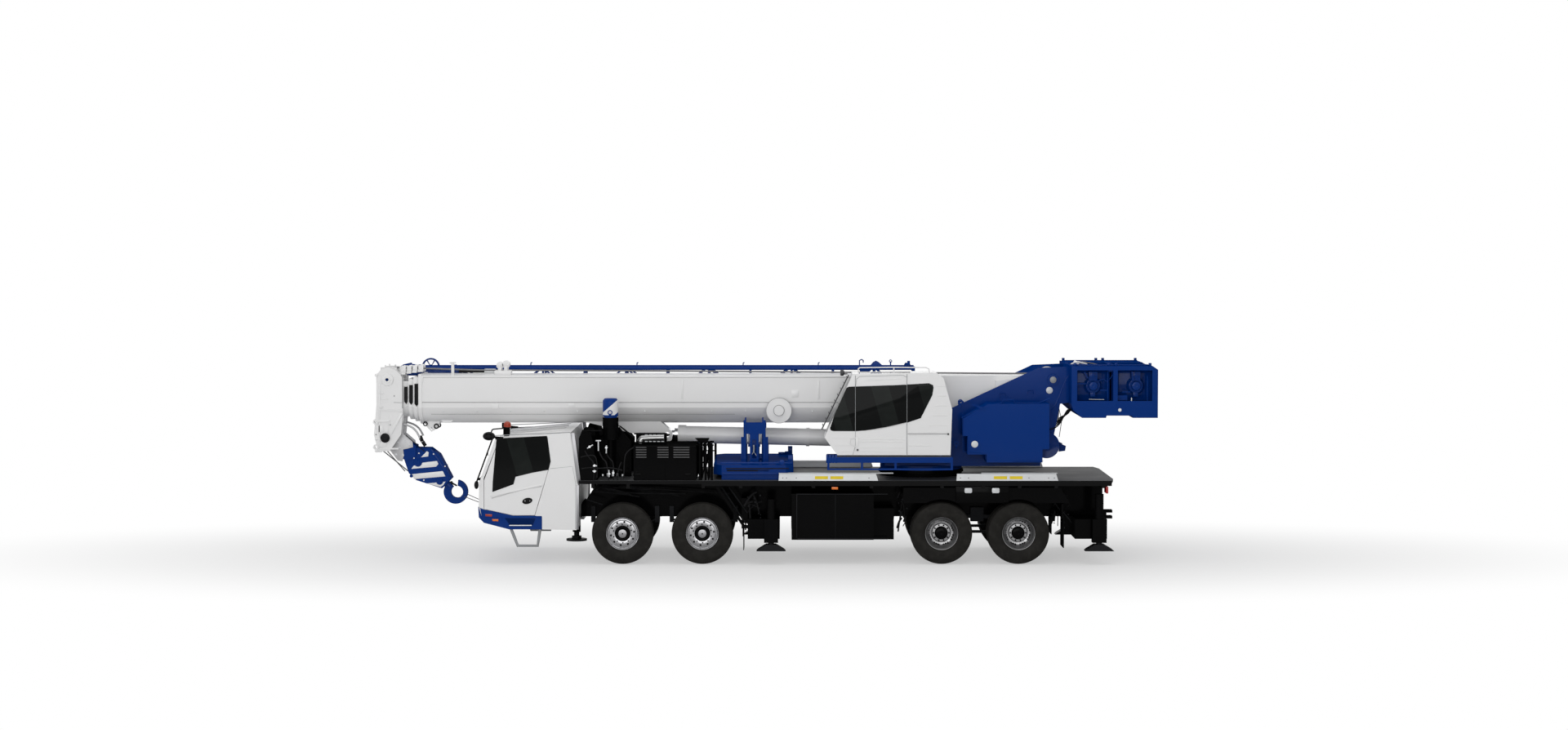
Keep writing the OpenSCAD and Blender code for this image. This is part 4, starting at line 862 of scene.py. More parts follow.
# %% Bosses, pins and stiffeners of the head
CHEEK = -.371
hx, hz = -6.944, 3.312
boss = turned([(.030, -.028), (.052, -.030), (.060, -.024), (.062, -.014), (.104, -.012), (.112, -.006),
               (.114, .035), (.030, .035)], (hx, -.400, hz), 40)
both_sides("head_boss", [boss] + [bar((hx + a, -.406, hz + b), (hx + a, -.418, hz + b), .009, 8)
                                  for a, b in circle_of(8, .088)], white_paint, "boom_tip", smooth=30)
both_sides("head_pin_end", turned([(.0005, -.022), (.024, -.022), (.029, -.016), (.029, 0), (.0005, 0)],
                                  (hx, -.400, hz), 28), deep_blue, "boom_tip")
tops = []
for y in (-.26, .26):
    tops.append(bar((hx + .06, y, 3.49), (hx + .06, y, 3.56), .016, 12))
    tops.append(bar((hx - .05, y, 3.50), (hx - .05, y, 3.575), .012, 12))
    tops.append(block((hx - .14, hx + .16), (y - .012, y + .012), (3.44, 3.535)))
finish("head_top_bolts", tops, white_paint, "boom_tip", .004)
lower = turned([(.0005, 0), (.0005, -.026), (.05, -.026), (.056, -.02), (.058, -.01), (.085, -.008),
                (.088, 0)], (-6.990, -.400, 2.230), 36)
both_sides("hook_pin_boss", lower, dark_steel, "boom_tip", .001)
ribs = [shape(((468, 500.5), (491, 503), (491, 504.6), (468, 502)), CHEEK, .014),
        shape(((490.6, 505), (492.4, 506), (477.2, 536), (475.4, 535)), CHEEK, .016),
        oblong(463.5, 470, 465.2, 548, CHEEK, .012),
        oblong(465, 548.5, 488, 550.5, CHEEK, .014),
        shape(((478, 508), (479.5, 508), (474.5, 533), (473, 533)), CHEEK, .006)]
both_sides("head_stiffeners", ribs, white_paint, "boom_tip", .003)
pins = []
for py in (459.5, 537.5, 552):
    x, z = spot(461.2, py, -.36)
    pins.append(bar((x, -.300, z), (x, -.392, z), .030, 20))
    pins.append(bar((x, -.392, z), (x, -.404, z), .016, 16))
    pins.append(block((x - .02, x + .10), (-.369, -.345), (z - .028, z + .028)))
both_sides("head_pins", pins, white_paint, "boom_tip", .003)
# Small grey marks and a short line on the cheeks: painted shade in their slots and groove.
slot_shades = [oblong(482, 484.2, 483.4, 485.6, CHEEK, .004),
              oblong(475.4, 519.8, 478.6, 521, CHEEK, .004),
              oblong(492.4, 461, 493.4, 500, CHEEK, .004),
              line([(482, 492.9), (492, 493.2)], CHEEK, .004),
              oblong(459.8, 531.6, 461.4, 533, CHEEK, .004)]
both_sides("head_slots", slot_shades, seam_shade, "boom_tip")
ledges = [shape(((463.4, 501.4), (490, 501.6), (490, 503), (463.4, 502.8)), CHEEK, .022),
          shape(((464, 497.6), (469, 497.4), (469, 498.8), (464, 499)), CHEEK, .03),
          shape(((464, 480.6), (470, 481), (470, 482.6), (464, 482)), CHEEK, .02),
          shape(((466, 487.6), (475, 488.6), (475, 490), (466, 489)), CHEEK, .016),
          shape(((460, 514.6), (478, 513.6), (478, 516.6), (460, 517.4)), CHEEK, .024),
          shape(((460, 536.4), (474, 536), (474, 538.4), (460, 538.8)), CHEEK, .024),
          shape(((461, 521), (468, 521), (470, 528), (462, 530)), CHEEK, .012),
          shape(((463, 542), (472, 540), (474, 546), (466, 548)), CHEEK, .010),
          shape(((491.5, 504.4), (493.6, 506.4), (479.4, 532.6), (475.6, 530)), CHEEK, .030)]
both_sides("head_ledges", ledges, white_paint, "boom_tip", .004)
print("boom head dressed")

# %% Rings below the boom's nose
under = []
for px, py, radius in ((521, 519, .045), (534.5, 522, .05)):
    x, z = spot(px, py, -.15)
    under.append(turned([(radius, 0), (radius, -.02), (radius * .55, -.02), (radius * .55, 0)],
                        (x, -.152, z), 28))
both_sides("nose_rings", under, dark_steel, "boom_base", .002, 35)
print("nose rings")

# %% [markdown]
# ## White bands on the hook block
# A hook block is painted so that the crane driver sees it from the cab: white bands cross the blue
# cheeks. Each band is a thin plate on the cheek. The pins of the block end in blue discs, and the links
# that tie the block to the head for the road are slotted bars.

# %% Bands, discs, latch and tie wires
link_grey = metal("grey_link_steel", (0.48, 0.48, 0.49), 0.55, (1, 1, 1), 0.25)
CHEEK_BLOCK = -.1605
BLOCK_BANDS = (((515.6, 560), (522.7, 552.5), (525, 554), (524.3, 559)),
               ((503.7, 574.2), (506.4, 570.4), (517.2, 566.6), (535.1, 564.5), (536.8, 568.3), (534, 571.5)),
               ((504.2, 580.7), (542.2, 576.9), (545.4, 583.4), (506.9, 586.7)),
               ((522.1, 592.1), (545.6, 589.8), (542.6, 594.4), (539.6, 596.4)))
both_sides("hook_block_bands", [shape(band, CHEEK_BLOCK, .003) for band in BLOCK_BANDS], white_paint,
           "hook_block", .0006)
discs = []
for px, py, radius in ((511.8, 566.6, .075), (538.4, 589.4, .065), (503.7, 582.9, .03)):
    x, z = spot(px, py, CHEEK_BLOCK)
    discs.append(turned([(.0005, 0), (.0005, -.020), (radius * .5, -.020), (radius * .55, -.012),
                         (radius * .9, -.012), (radius, -.005), (radius, .004)],
                         (x, CHEEK_BLOCK - .003, z), 32))
both_sides("hook_block_discs", discs, blue_paint, "hook_block", smooth=35)
both_sides("hook_block_dots", bolts([(507, 561), (531, 556), (545, 571), (519, 588), (513, 555)],
                                    CHEEK_BLOCK - .002, .014, .010), white_paint, "hook_block", .002)
edge = shape(((527.5, 549.8), (530, 551.4), (552, 586), (546.5, 592.5), (549.8, 586), (528, 552.5)),
             CHEEK_BLOCK, .010)
both_sides("hook_block_rim", edge, blue_paint, "hook_block", .003)
latch_a, latch_b = spot(552.5, 591, -.02), spot(559.5, 594.8, -.02)
latch = [bar((latch_a[0], -.02, latch_a[1]), (latch_b[0], -.02, latch_b[1]), .016, 14),
         bar((latch_a[0], -.05, latch_a[1]), (latch_a[0], .05, latch_a[1]), .024, 16)]
finish("hook_latch", latch, dark_steel, "hook_block", .002)
ties = [pipe([(a, -.01, b), (c, -.30, d)], .007, 2, False) for (a, b), (c, d) in (
    (spot(565, 606.8, -.01), spot(592.5, 617.2, -.3)), (spot(572, 605, -.01), spot(592.5, 614.2, -.3)))]
finish("hook_tie_wires", ties, wire_rope, "hook_block")
print("hook block dressed")

# %% Links, guards and weights at the head
links = [shape(((491.7, 529.5), (500, 536.4), (505.2, 541), (506, 547.6), (498.6, 549.6),
                (493.8, 550.4), (494.6, 558),
                (492.8, 564.9), (487.2, 564), (478.4, 552.4), (474, 545), (480, 536), (486, 531)),
                -.1915, .012)]
both_sides("road_links", links, link_grey, "hook_block", .003)
holes = bolts([(495.2, 539.8), (489.6, 548), (485, 556.4), (493.4, 556.8)], -.2035, .030, .001, 3) + \
    bolts([(500.6, 544.6), (487.4, 541.6)], -.2035, .014, .001, 12)
both_sides("road_link_openings", holes, clear_plastic, "hook_block", smooth=0)
arm = line([(493, 519), (499, 520.5), (506, 524), (511, 529.5), (514, 536)], -.25, .018, True, 4)
both_sides("rope_guard", arm, link_grey, "boom_tip")
runs = [line([(497, 533), (520, 553)], -.215, .008), line([(513, 537), (520, 548)], -.225, .006)]
runs += [bar(*[(spot(a, b, -.215)[0], -.215, spot(a, b, -.215)[1]) for a, b in ends], .030, 18)
         for ends in (((514.6, 533.5), (517.4, 540.5)), ((517.8, 540.5), (521.2, 546)))]
finish("rope_weight_switch", runs, dark_steel, "hook_block", .002)
print("links and weights")

# %% [markdown]
# ## Dark windows
# From outside, the tinted windows of a crane look nearly black. Each door keeps its pane in a rubber
# seal, so the seal is a thin black cord round the opening and the tinted film is a sheet over both faces
# of the pane.

# %% Door windows of the carrier's cab
def both_doors(name, parts, paint, edge=0.0, smooth=35):
    left = finish(name + "_left", parts, paint, "cab_door_left", edge, smooth)
    copied(left, name + "_right", "cab_door_right", mirror=True)


DOOR_PANE = [(-4.770, 2.180), (-4.850, 1.690), (-4.868, 1.345), (-4.545, 1.455), (-4.490, 1.605),
             (-3.925, 1.730), (-3.900, 1.861), (-3.940, 2.262)]
flush = ((608.4, 537.4), (669.4, 534.2), (671.2, 545), (673.8, 565), (671.4, 575), (651, 578.6),
         (631, 583.6), (628.4, 592.8), (603.2, 602.2), (603.8, 590))
films = [shape(flush, -1.3945, .003), plate(DOOR_PANE, -1.3708, -1.3672)]
both_doors("door_film", films, deep_glass, smooth=0)
both_doors("door_seal", line(flush + flush[:1], -1.3955, .008), hose_rubber)
print("door windows dark")

# %% Creases, handle and lever of the doors
DOOR_FACE = -1.395
crease = shape(((600.5, 606.3), (664, 592.2), (664.4, 594.6), (600.8, 608.4)), DOOR_FACE, .010)
# A grey line of painted shade along the underside of the crease.
shade = line([(602, 610.2), (625, 603.6), (645, 598.4), (663, 595.6)], DOOR_FACE - .0005, .009)
both_doors("door_crease", crease, white_paint, .003)
both_doors("door_crease_edge", shade, crease_grey, smooth=50)
grip_x, grip_z = spot(645.7, 613.5, DOOR_FACE)
grip = turned([(.0005, -.002), (.0005, -.014), (.050, -.015), (.066, -.011), (.070, -.002)], (0, 0, 0), 40)
for corner in grip.data.vertices:
    x, y, z = corner.co.x * 1.32, corner.co.y, corner.co.z * .80
    corner.co = (grip_x + x - .05 * z, DOOR_FACE + y, grip_z + z + .16 * x)
both_doors("door_handle", grip, hose_rubber, smooth=50)
lever = shape(((643, 612.3), (649, 611.5), (648.7, 614.8), (643.2, 615.6)), DOOR_FACE - .013, .006)
both_doors("door_lever", lever, hose_rubber, .002)
print("doors dressed")

# %% [markdown]
# ## The carrier's cab
# The shell gets its pressed seams, the grey strip on its rear corner, and the fittings of a road vehicle:
# lamps in the bumper, a step of bent tube, wipers, a beacon and, on the driver's side, the mirrors on
# their arms.

# %% Seams and strips of the shell
CAB_FACE = -1.3955
both_sides("cab_seams", [line([(673.5, 574), (701, 571.2), (705, 593), (704.5, 648)], CAB_FACE, .003),
                         line([(606, 533.4), (650, 531.6), (698, 529.6)], CAB_FACE + .002, .007)],
           grey_paint, "carrier")
both_sides("cab_corner_strip", [shape(((699, 530.4), (703.6, 530), (711.5, 592), (706.8, 592.4)),
                                      CAB_FACE, .016),
                                shape(((706, 594), (709, 594), (708.6, 648.5), (705.6, 648.5)),
                                      CAB_FACE, .010)], strip_metal, "carrier", .006)
skirt = plate([(-5.125, 1.035), (-5.050, 1.002), (-4.985, .992), (-4.530, .892), (-4.130, .892),
               (-4.100, .885), (-4.004, .884), (-4.004, .846), (-4.560, .846), (-5.098, .866)],
              CAB_FACE + .001, CAB_FACE - .003)
both_sides("cab_skirt", skirt, blue_paint, "carrier")
print("shell seams")

# %% Bumper lamps, recess and step
BUMP = -1.3905
# A darker blue plate on the bumper's step recess: painted shade inside the recess.
both_sides("bumper_recess", shape(((616.5, 632.2), (656, 634.2), (652.5, 643), (624.5, 643.2)), BUMP, .003),
           deep_blue, "carrier", .001)
both_sides("bumper_tread", line([(623.5, 643.5), (651, 643.5)], BUMP - .010, .012, sides=3), galvanised,
           "carrier")
both_sides("bumper_side_lamp", shape(((594, 629.4), (602.6, 629.7), (602.6, 632.6), (594.6, 632.2)),
                                     BUMP, .012), red_amber, "carrier", .004)
both_sides("bumper_indicator", shape(((602.6, 635.6), (610.2, 635.8), (610.2, 638.4), (603, 638)), BUMP,
                                     .012), amber_plastic, "carrier", .004)
corners = [(-4.575, .650), (-4.512, .488), (-4.4505, .333), (-4.090, .333), (-4.066, .488), (-4.043, .650)]
step = pipe([(x, -1.315, z) for x, z in corners], .0275, 4, False)
both_sides("cab_step", [step], grey_paint, "carrier")
nose_lamps = [block((-5.166, -5.150), (-1.16, -.80), (.895, 1.02)),
              block((-5.166, -5.150), (-.76, -.56), (.90, .98))]
both_sides("head_lamps", nose_lamps, clear_plastic, "carrier", .012)
print("bumper dressed")

# %% Beacon, mirrors and wipers
def ball(place, radii, rings=20):
    clear()
    bpy.ops.mesh.primitive_uv_sphere_add(segments=28, ring_count=rings, location=place, scale=radii)
    return bpy.context.active_object


BEACON_X, BEACON_Y = -4.663, -1.0


def beacon_post(bottom, top, radius, steps):
    return bar((BEACON_X, BEACON_Y, bottom), (BEACON_X, BEACON_Y, top), radius, steps)


dome = ball((BEACON_X, BEACON_Y, 2.530), (.066, .066, .052))
finish("beacon_dome", [dome, beacon_post(2.472, 2.530, .066, 32)], red_amber, "carrier", smooth=60)
base = [beacon_post(2.428, 2.474, .052, 28), beacon_post(2.466, 2.478, .070, 28)]
finish("beacon_base", base, hose_rubber, "carrier", .004, 50)
stand = [beacon_post(2.27, 2.43, .020, 16), block((-4.72, -4.60), (-1.05, -.95), (2.27, 2.312))]
finish("beacon_stand", stand, white_paint, "carrier", .004)

shells = [ball((-4.958, -1.385, 2.338), (.112, .096, .078)), ball((-5.19, -1.385, 1.45), (.04, .08, .075))]
finish("mirror_shells", shells, hose_rubber, "carrier", smooth=60)
arms = [pipe([(-4.935, -1.32, 2.36), (-4.920, -1.28, 2.44), (-4.890, -1.22, 2.458),
              (-4.71, -1.03, 2.455)], .012, 3),
        pipe([(-4.93, -1.36, 2.22), (-5.01, -1.30, 2.0), (-4.99, -1.28, 1.98)], .008, 2)]
finish("mirror_arms", arms, hose_rubber, "carrier")
wipers = []
for y in (-.95, -.25, .45):
    wipers.append(bar((-5.152, y, 1.53), (-5.062, y + .52, 1.84), .010, 8))
    wipers.append(bar((-5.156, y, 1.51), (-5.128, y, 1.56), .024, 12))
    wipers.append(bar((-5.128, y + .28, 1.62), (-5.000, y + .72, 1.99), .007, 6))
finish("wipers", wipers, cabin_plastic, "carrier")
roof = [pipe([(-4.80, y, 2.284), (-3.66, y, 2.396)], .012, 2, False) for y in (-1.1, -.55, 0, .55, 1.1)]
finish("cab_roof_beads", roof, white_paint, "carrier")
grille = [block((-5.163, -5.148), (-.46, .46), (1.09 + i * .062, 1.115 + i * .062)) for i in range(5)]
finish("front_grille", grille, black_paint, "carrier", .004)
print("beacon, mirrors and wipers")

# %% [markdown]
# ## Pipes behind the cab
# Between the cab and the engine stands a black wall with the air cleaner, valves and their pipes. Small
# bright unions catch the light there. The overhaul weight stands in its black cup and wears a slanting
# white band, so it is seen in the dark.

# %% Bright fittings on the black wall
WALL = -1.402
fittings = bolts([(722, 547), (742.5, 548), (728, 577), (746, 580), (751, 579), (728, 570)], WALL, .022,
                 .035, 14)
for (a, b), (c, d) in (((729.5, 539.8), (735.8, 539.8)), ((732.6, 540), (732.8, 552)),
                       ((719, 549), (726, 544.8)),
                       ((742.6, 545.5), (742.4, 555)), ((726, 570.5), (731, 570.5)),
                       ((725.6, 577), (730, 577)),
                       ((745.5, 575.5), (745.7, 584)), ((750.8, 576), (751, 583))):
    fittings.append(line([(a, b), (c, d)], WALL - .014, .013, sides=2))
finish("bright_unions", fittings, galvanised, "carrier", smooth=40)
runs = []
for points in (((711, 560), (724, 556), (732, 561), (731, 585)),
               ((716, 552), (722, 562), (728, 566), (727, 588)),
               ((733, 551), (737, 562), (744, 566), (745, 588)),
               ((742.4, 555), (746, 562), (752, 566), (751, 588)),
               ((776, 548), (768, 552), (764, 562), (764, 586)), ((761, 566), (756, 574), (756, 588)),
               ((712, 574), (722, 572), (735, 574), (748, 572), (762, 576))):
    runs.append(line(points, WALL - .008, .011, True, 3))
finish("wall_hoses", runs, hose_rubber, "carrier")
brackets = [shape(((757, 521), (759.5, 521), (777.5, 535), (777.5, 538)), -1.16, .02),
            oblong(713, 526.5, 737, 528.2, -1.30, .05),
            oblong(776.5, 530.2, 815, 532, -1.02, .03),
            oblong(776.5, 541, 815, 542.6, -1.02, .03)]
finish("wall_brackets", brackets, black_paint, "carrier", .003)
tray = [bar((-2.90 + .09 * i, -1.31, 1.60), (-2.90 + .09 * i, -1.31, 1.64 + .02 * (i % 2)), .02, 10)
        for i in range(5)]
finish("tray_knobs", tray, galvanised, "carrier", .003)
print("pipes behind the cab")

# %% The overhaul weight with its slanting band
weight = Finish("striped_weight", BLUE, 0.32)
height = weight.place("Z")
slope = height - weight.place("X") * 0.86
band = slope.below(5.25) * slope.above(5.02) * height.above(2.702)
cloud = weight.noise(0.5, 4.0)
weight.set("Base Color", weight.blend(band, weight.blend((cloud - .45) * .6, BLUE, (.02, .05, .16)),
                                      (.78, .78, .785)))
weight.set("Roughness", 0.3 + cloud * 0.12)
weight.relief(weight.noise(0.012, 2.0), 0.0004, 0.5)
weight.shader.inputs["Specular IOR Level"].default_value = 0.1
body = turned([(.0005, -.395), (.118, -.395), (.118, -.128), (.142, -.124), (.1425, .150), (.140, .164),
               (.112, .200), (.104, .204), (.0005, .204)], (-2.776, -1.0, 2.80), 56, (0, 0, 1))
eye = turned([(.030, -.010), (.044, -.010), (.044, .010), (.030, .010)], (-2.776, -1.150, 2.752), 28)
overhaul = finish("overhaul_weight", body, weight.material, "carrier", smooth=40)
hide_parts("stowed_hook")
finish("overhaul_eye", [eye, bar((-2.776, -1.138, 2.70), (-2.776, -1.155, 2.72), .02, 12)], blue_paint,
       "carrier", .002)
print("overhaul weight striped")

# %% [markdown]
# ## Engine hood, exhaust and posts
# The hood's louvres are real slots, so only their pressed lips are added, with the hinges and the
# latches. The exhaust leaves through a bright elbow under a slotted heat guard.

# %% Hood and exhaust
lips = []
for x0, x1 in ((-2.29, -2.10), (-1.90, -1.70), (-1.61, -1.32)):
    for k in range(5):
        z = 1.963 + .045 * k
        lips.append(sawn([(-1.4195, z), (-1.4315, z - .014), (-1.4315, z - .009), (-1.4195, z + .008)],
                         x0, x1))
both_sides("hood_louvres", lips, louvre_grey, "carrier", smooth=0)
trims = [block((-2.33, -1.20), (-1.4275, -1.4195), (2.148, 2.162)),
         block((-1.765, -1.757), (-1.4235, -1.4195), (1.56, 2.145)),
         block((-2.30, -2.20), (-1.4275, -1.4195), (1.62, 1.66)),
         block((-1.40, -1.30), (-1.4275, -1.4195), (1.62, 1.66))]
both_sides("hood_trims", trims, black_paint, "carrier", .002)
(ax, az), (bx, bz), (cx, cz) = spot(784.5, 545, -.95), spot(790, 536.5, -.95), spot(813, 536, -.95)
elbow = pipe([(ax, -.95, az - .05), (ax, -.95, bz - .02), (bx - .03, -.95, bz), (cx, -.95, cz)], .058,
             5, True)
finish("exhaust_elbow", elbow, exhaust_steel, "carrier", smooth=60)
guard = []
for z in (spot(800, 532.5, -1.02)[1], spot(800, 540.5, -1.02)[1]):
    guard += [block((bx + i * .075, bx + .05 + i * .075), (-1.045, -1.035), (z - .009, z + .009))
              for i in range(5)]
finish("exhaust_guard_slots", guard, clear_plastic, "carrier")
print("hood and exhaust")

# %% Posts beside the hood
frame_posts = [line([(857, 543), (857, 589)], -1.36, .022, sides=3),
               line([(864, 539), (864, 589)], -1.36, .022, sides=3),
               line([(871.5, 545), (871.5, 589)], -1.36, .024, sides=3),
               line([(858, 542), (868, 588)], -1.33, .012), line([(870, 542), (859, 588)], -1.33, .012),
               shape(((851, 536.2), (869, 536.2), (866.5, 540.5), (855.5, 540.5)), -1.33, .07),
               line([(852, 545), (874, 545)], -1.30, .014), line([(855, 566), (873, 566)], -1.31, .012)]
both_sides("hood_side_posts", frame_posts, black_paint, "carrier", 0)
print("posts")

# %% [markdown]
# ## The boom rest and the counterweight
# The counterweight carries the rest on which the boom lies on the road. Its posts end in plates with a
# pin hole, and bright bolts hold its feet. Narrow slots run along the counterweight's sides.

# %% Rest, slots and knobs
CW = -1.302
rest = [shape(((912, 511), (914, 511), (914, 566), (911, 566)), -.42, .035),
        shape(((933, 511), (935, 511), (935.5, 566), (932.5, 566)), -.42, .035),
        shape(((914, 518), (934, 518), (932, 529), (928, 533), (919, 533), (915, 529)), -.42, .03),
        oblong(916, 543, 931, 547, -.42, .03),
        shape(((919, 529), (927, 529), (926.5, 566), (919.5, 566)), -.40, .03)]
finish("boom_rest_plates", rest, blue_paint, "carrier", .004)
rest_x, rest_z = spot(923, 524, -.452)
hole = [turned([(.0005, 0), (.0005, -.012), (.030, -.012), (.045, -.006), (.048, 0)],
               (rest_x, -.452, rest_z), 28)]
finish("boom_rest_pin", hole, dark_steel, "carrier", .001)
yokes = [line([(916, 541), (916, 530), (920, 529.5)], -.455, .018, sides=3),
         line([(930, 541), (930, 530), (926, 529.5)], -.455, .018, sides=3),
         line([(918.5, 567), (918.5, 560), (922.5, 554), (922.5, 545)], -.455, .007),
         line([(927.5, 567), (927.5, 560), (923.5, 554), (923.5, 545)], -.455, .007)]
finish("boom_rest_bright_parts", yokes, galvanised, "carrier")
slots = [oblong(889, 573.2, 966, 574.4, CW, .004),
         oblong(890, 576, 928, 577.2, CW, .003)]
both_sides("counterweight_slots", slots, hose_rubber, "carrier")
knobs = [bar((x, y, 1.79), (x, y, 1.85), r, 24)
         for x, y, r in ((.356, 1.05, .07), (.30, -1.0, .06), (-.2, -1.05, .05))]
knobs += [block((.47, .555), (y - .05, y + .05), (1.79, 1.965)) for y in (-1.05, 1.05)]
knobs += bolts([(957.5, 565.8)], CW, .045, .04, 20)
rims = [oblong(882, 566, 970, 568, CW, .008),
        oblong(885, 579.2, 968, 581, CW, .008)]
finish("counterweight_rims", knobs + rims, blue_paint, "carrier", .004)
print("boom rest and counterweight")

# %% [markdown]
# ## The operator's cab
# Its side is nearly all glass, with the door's frame hidden behind a tinted sheet. Pressed beads stiffen
# the thin steel below. A tube rail runs along the roof, and a ladder of bars guards the sloping
# windscreen.

# %% Glass side and seams
OP = -1.4005
pane = [(1036.6, 474.9), (1039.5, 473.6), (1110, 471.2), (1139, 470.2), (1142.4, 471.6), (1143.1, 475),
        (1141.6, 484), (1129.6, 508), (1126.5, 511.6), (1122, 513.6), (1110.6, 517), (1085, 523),
        (1060, 527.2), (1049, 528), (1021, 528), (1017.2, 527), (1016.4, 524.4), (1022, 507)]
finish("operator_side_glass", shape(pane, OP, .006), deep_glass, "superstructure", .002)
seams = [line([(1047.4, 460), (1047.4, 528)], OP - .006, .0045),
         line([(1110.6, 458), (1110.6, 558)], OP - .006, .0045),
         line([(1047.4, 528), (1047.4, 546), (1044, 558)], OP, .0035),
         line([(1047.6, 474), (1049, 464), (1053, 461), (1106, 459.5), (1110, 462)], OP, .0035)]
finish("operator_seams", seams, grey_paint, "superstructure")
beads = []
for points in (((1113, 529.6), (1150, 529.6)), ((1113, 533.2), (1150, 533.2)), ((1052, 538), (1107, 538)),
               ((1052, 541), (1107, 541)), ((1052, 548.5), (1107, 548.5)), ((1113, 546), (1140, 546)),
               ((1018, 536.5), (1043, 536.5)), ((1022, 545.5), (1041, 545.5)), ((1030, 553), (1102, 553)),
               ((1148, 485), (1159, 485)), ((1145, 497), (1160, 497)), ((1142, 509), (1161, 509)),
               ((1138, 521), (1162, 521)), ((1146, 473), (1157, 473)), ((1058, 466), (1104, 464))):
    beads.append(line(points, OP + .0005, .0065, sides=2))
finish("operator_beads", beads, white_paint, "superstructure", smooth=50)
print("operator's cab side")

# %% Rail, handle, guard bars and gap
RAIL_Y = -1.33
rail = [line([(1051, 457), (1051, 451.6), (1053, 450.2), (1092, 449.8), (1134, 450.2), (1137.5, 452),
              (1138, 458)], RAIL_Y, .011, False, 3),
        line([(1094.5, 450), (1094.5, 457)], RAIL_Y, .010, sides=3)]
finish("operator_roof_rail", rail, white_paint, "superstructure")
groove = [line([(1111.5, 531.4), (1160, 531.4)], OP - .001, .004),
          shape(((1022, 558.6), (1165, 558.6), (1165, 560.4), (1026, 560.4)), -1.385, .010)]
finish("operator_dark_lines", groove + bolts([(1161, 531.6), (1050, 551)], OP, .018, .022, 14), cabin_plastic,
       "superstructure", smooth=40)
handle = [line([(1049.5, 536), (1041, 537.5), (1041, 545), (1048, 546.5)], OP - .012, .010, sides=3),
          oblong(1047.6, 535.5, 1051, 546.5, OP, .016)]
finish("operator_handle", handle, white_paint, "superstructure", .002)
guard = []
for y in (-1.36, -1.20, -.86, -.70):
    (a, b), (c, d) = spot(1040.5, 459, y), spot(1007.5, 526, y)
    guard.append(bar((a - .02, y, b), (c - .02, y, d), .011, 8))
for i in range(9):
    t = (i + .5) / 9
    x, z = spot(1040.5 + t * (1007.5 - 1040.5), 459 + t * 67, -1.36)
    guard.append(bar((x - .02, -1.36, z), (x - .02, -.70, z), .008, 8))
finish("windscreen_guard", guard, cabin_plastic, "superstructure")
lamp_x, lamp_z = spot(1031, 456.5, -1.2)
work = turned([(.0005, -.03), (.045, -.03), (.055, -.02), (.055, .02), (.03, .045), (.0005, .045)],
              (lamp_x, -1.2, lamp_z), 24, (1, 0, 0))
finish("work_lamp", [work, block((lamp_x - .01, lamp_x + .1), (-1.21, -1.19), (lamp_z - .03, lamp_z - .01))],
       cabin_plastic, "superstructure", .002)
rungs = [block((1.16 + .055 * i, 1.19 + .055 * i), (-1.402, -1.36), (1.85, 2.0)) for i in range(4)]
finish("walkway_rungs", rungs, blue_paint, "superstructure", .003)
print("operator's cab dressed")

# %% [markdown]
# ## The superstructure's side
# Thick plates carry the boom's foot, and pins with bright caps go through them. The big side cover has a
# seam, a small hatch and steps with a rail, and lifting eyes stand along its edge.

# %% Caps, eyes, rail and hatch
PLATE, COVER = -.632, -1.2165
FOOT_PIN_X, FOOT_PIN_Z = 5.346, 3.322
caps = []
for px, py, radius, y in ((1285, 478, .062, PLATE), (1193.5, 544, .062, COVER)):
    x, z = spot(px, py, y)
    caps.append(turned([(.0005, -.016), (radius * .8, -.016), (radius, -.008), (radius, .002),
                        (.0005, .002)], (x, y, z), 28))
both_sides("bright_caps", caps, clear_plastic, "superstructure", smooth=35)
foot = turned([(.0005, -.016), (.048, -.016), (.060, -.008), (.060, .002), (.0005, .002)],
              (FOOT_PIN_X, -.6605, FOOT_PIN_Z), 28)
both_sides("foot_pin_cap", foot, grey_paint, "superstructure", smooth=35)
trims = [turned([(.078, 0), (.078, -.022), (.104, -.022), (.108, 0)], (FOOT_PIN_X, PLATE, FOOT_PIN_Z), 32)]
for px, py in ((1176, 492), (1171, 543)):
    x, z = spot(px, py, COVER + .25)
    trims.append(turned([(.026, -.012), (.046, -.012), (.046, .012), (.026, .012)], (x, COVER + .25, z), 24))
    trims.append(bar((x, COVER + .25, z - .09), (x, COVER + .25, z - .04), .018, 12))
for points in (((1224, 487), (1224.5, 481.5), (1231, 481.5), (1232, 486)),
               ((1258, 482), (1258.5, 478), (1265, 478), (1266, 482))):
    trims.append(line(points, PLATE, .010, False, 2))
trims.append(line([(1177.5, 512), (1205, 498), (1227, 493.5), (1229, 489.5), (1241, 489.5),
                   (1242, 493.5), (1272, 493.5), (1286, 488)], COVER + .1, .012, False, 2))
for px, py in ((1186, 508), (1204, 499), (1229, 493), (1251, 493.5), (1272, 493.5)):
    trims.append(line([(px, py), (px, py + 4)], COVER + .1, .010))
trims += [shape(((1190, 495.5), (1192, 494.5), (1206, 500), (1204.5, 502)), COVER, .014),
          oblong(1184.6, 538, 1185.6, 556, COVER, .006),
          line([(1179, 505), (1179, 553), (1207, 556), (1207, 563)], COVER, .005),
          line([(1241, 565), (1276, 565)], COVER, .005)]
both_sides("superstructure_rails", trims, blue_paint, "superstructure", smooth=40)
drum = [turned([(.0005, -.03), (.06, -.03), (.07, -.02), (.205, -.016), (.236, -.03), (.240, -.03),
                (.240, .03), (.0005, .03)], (5.228, PLATE - .01, 2.116), 44),
        shape(((1298, 543), (1305, 546), (1304, 552), (1296, 553)), -.3, .03)]
both_sides("hose_drum_rims", drum, blue_paint, "superstructure", smooth=35)
print("superstructure's side dressed")

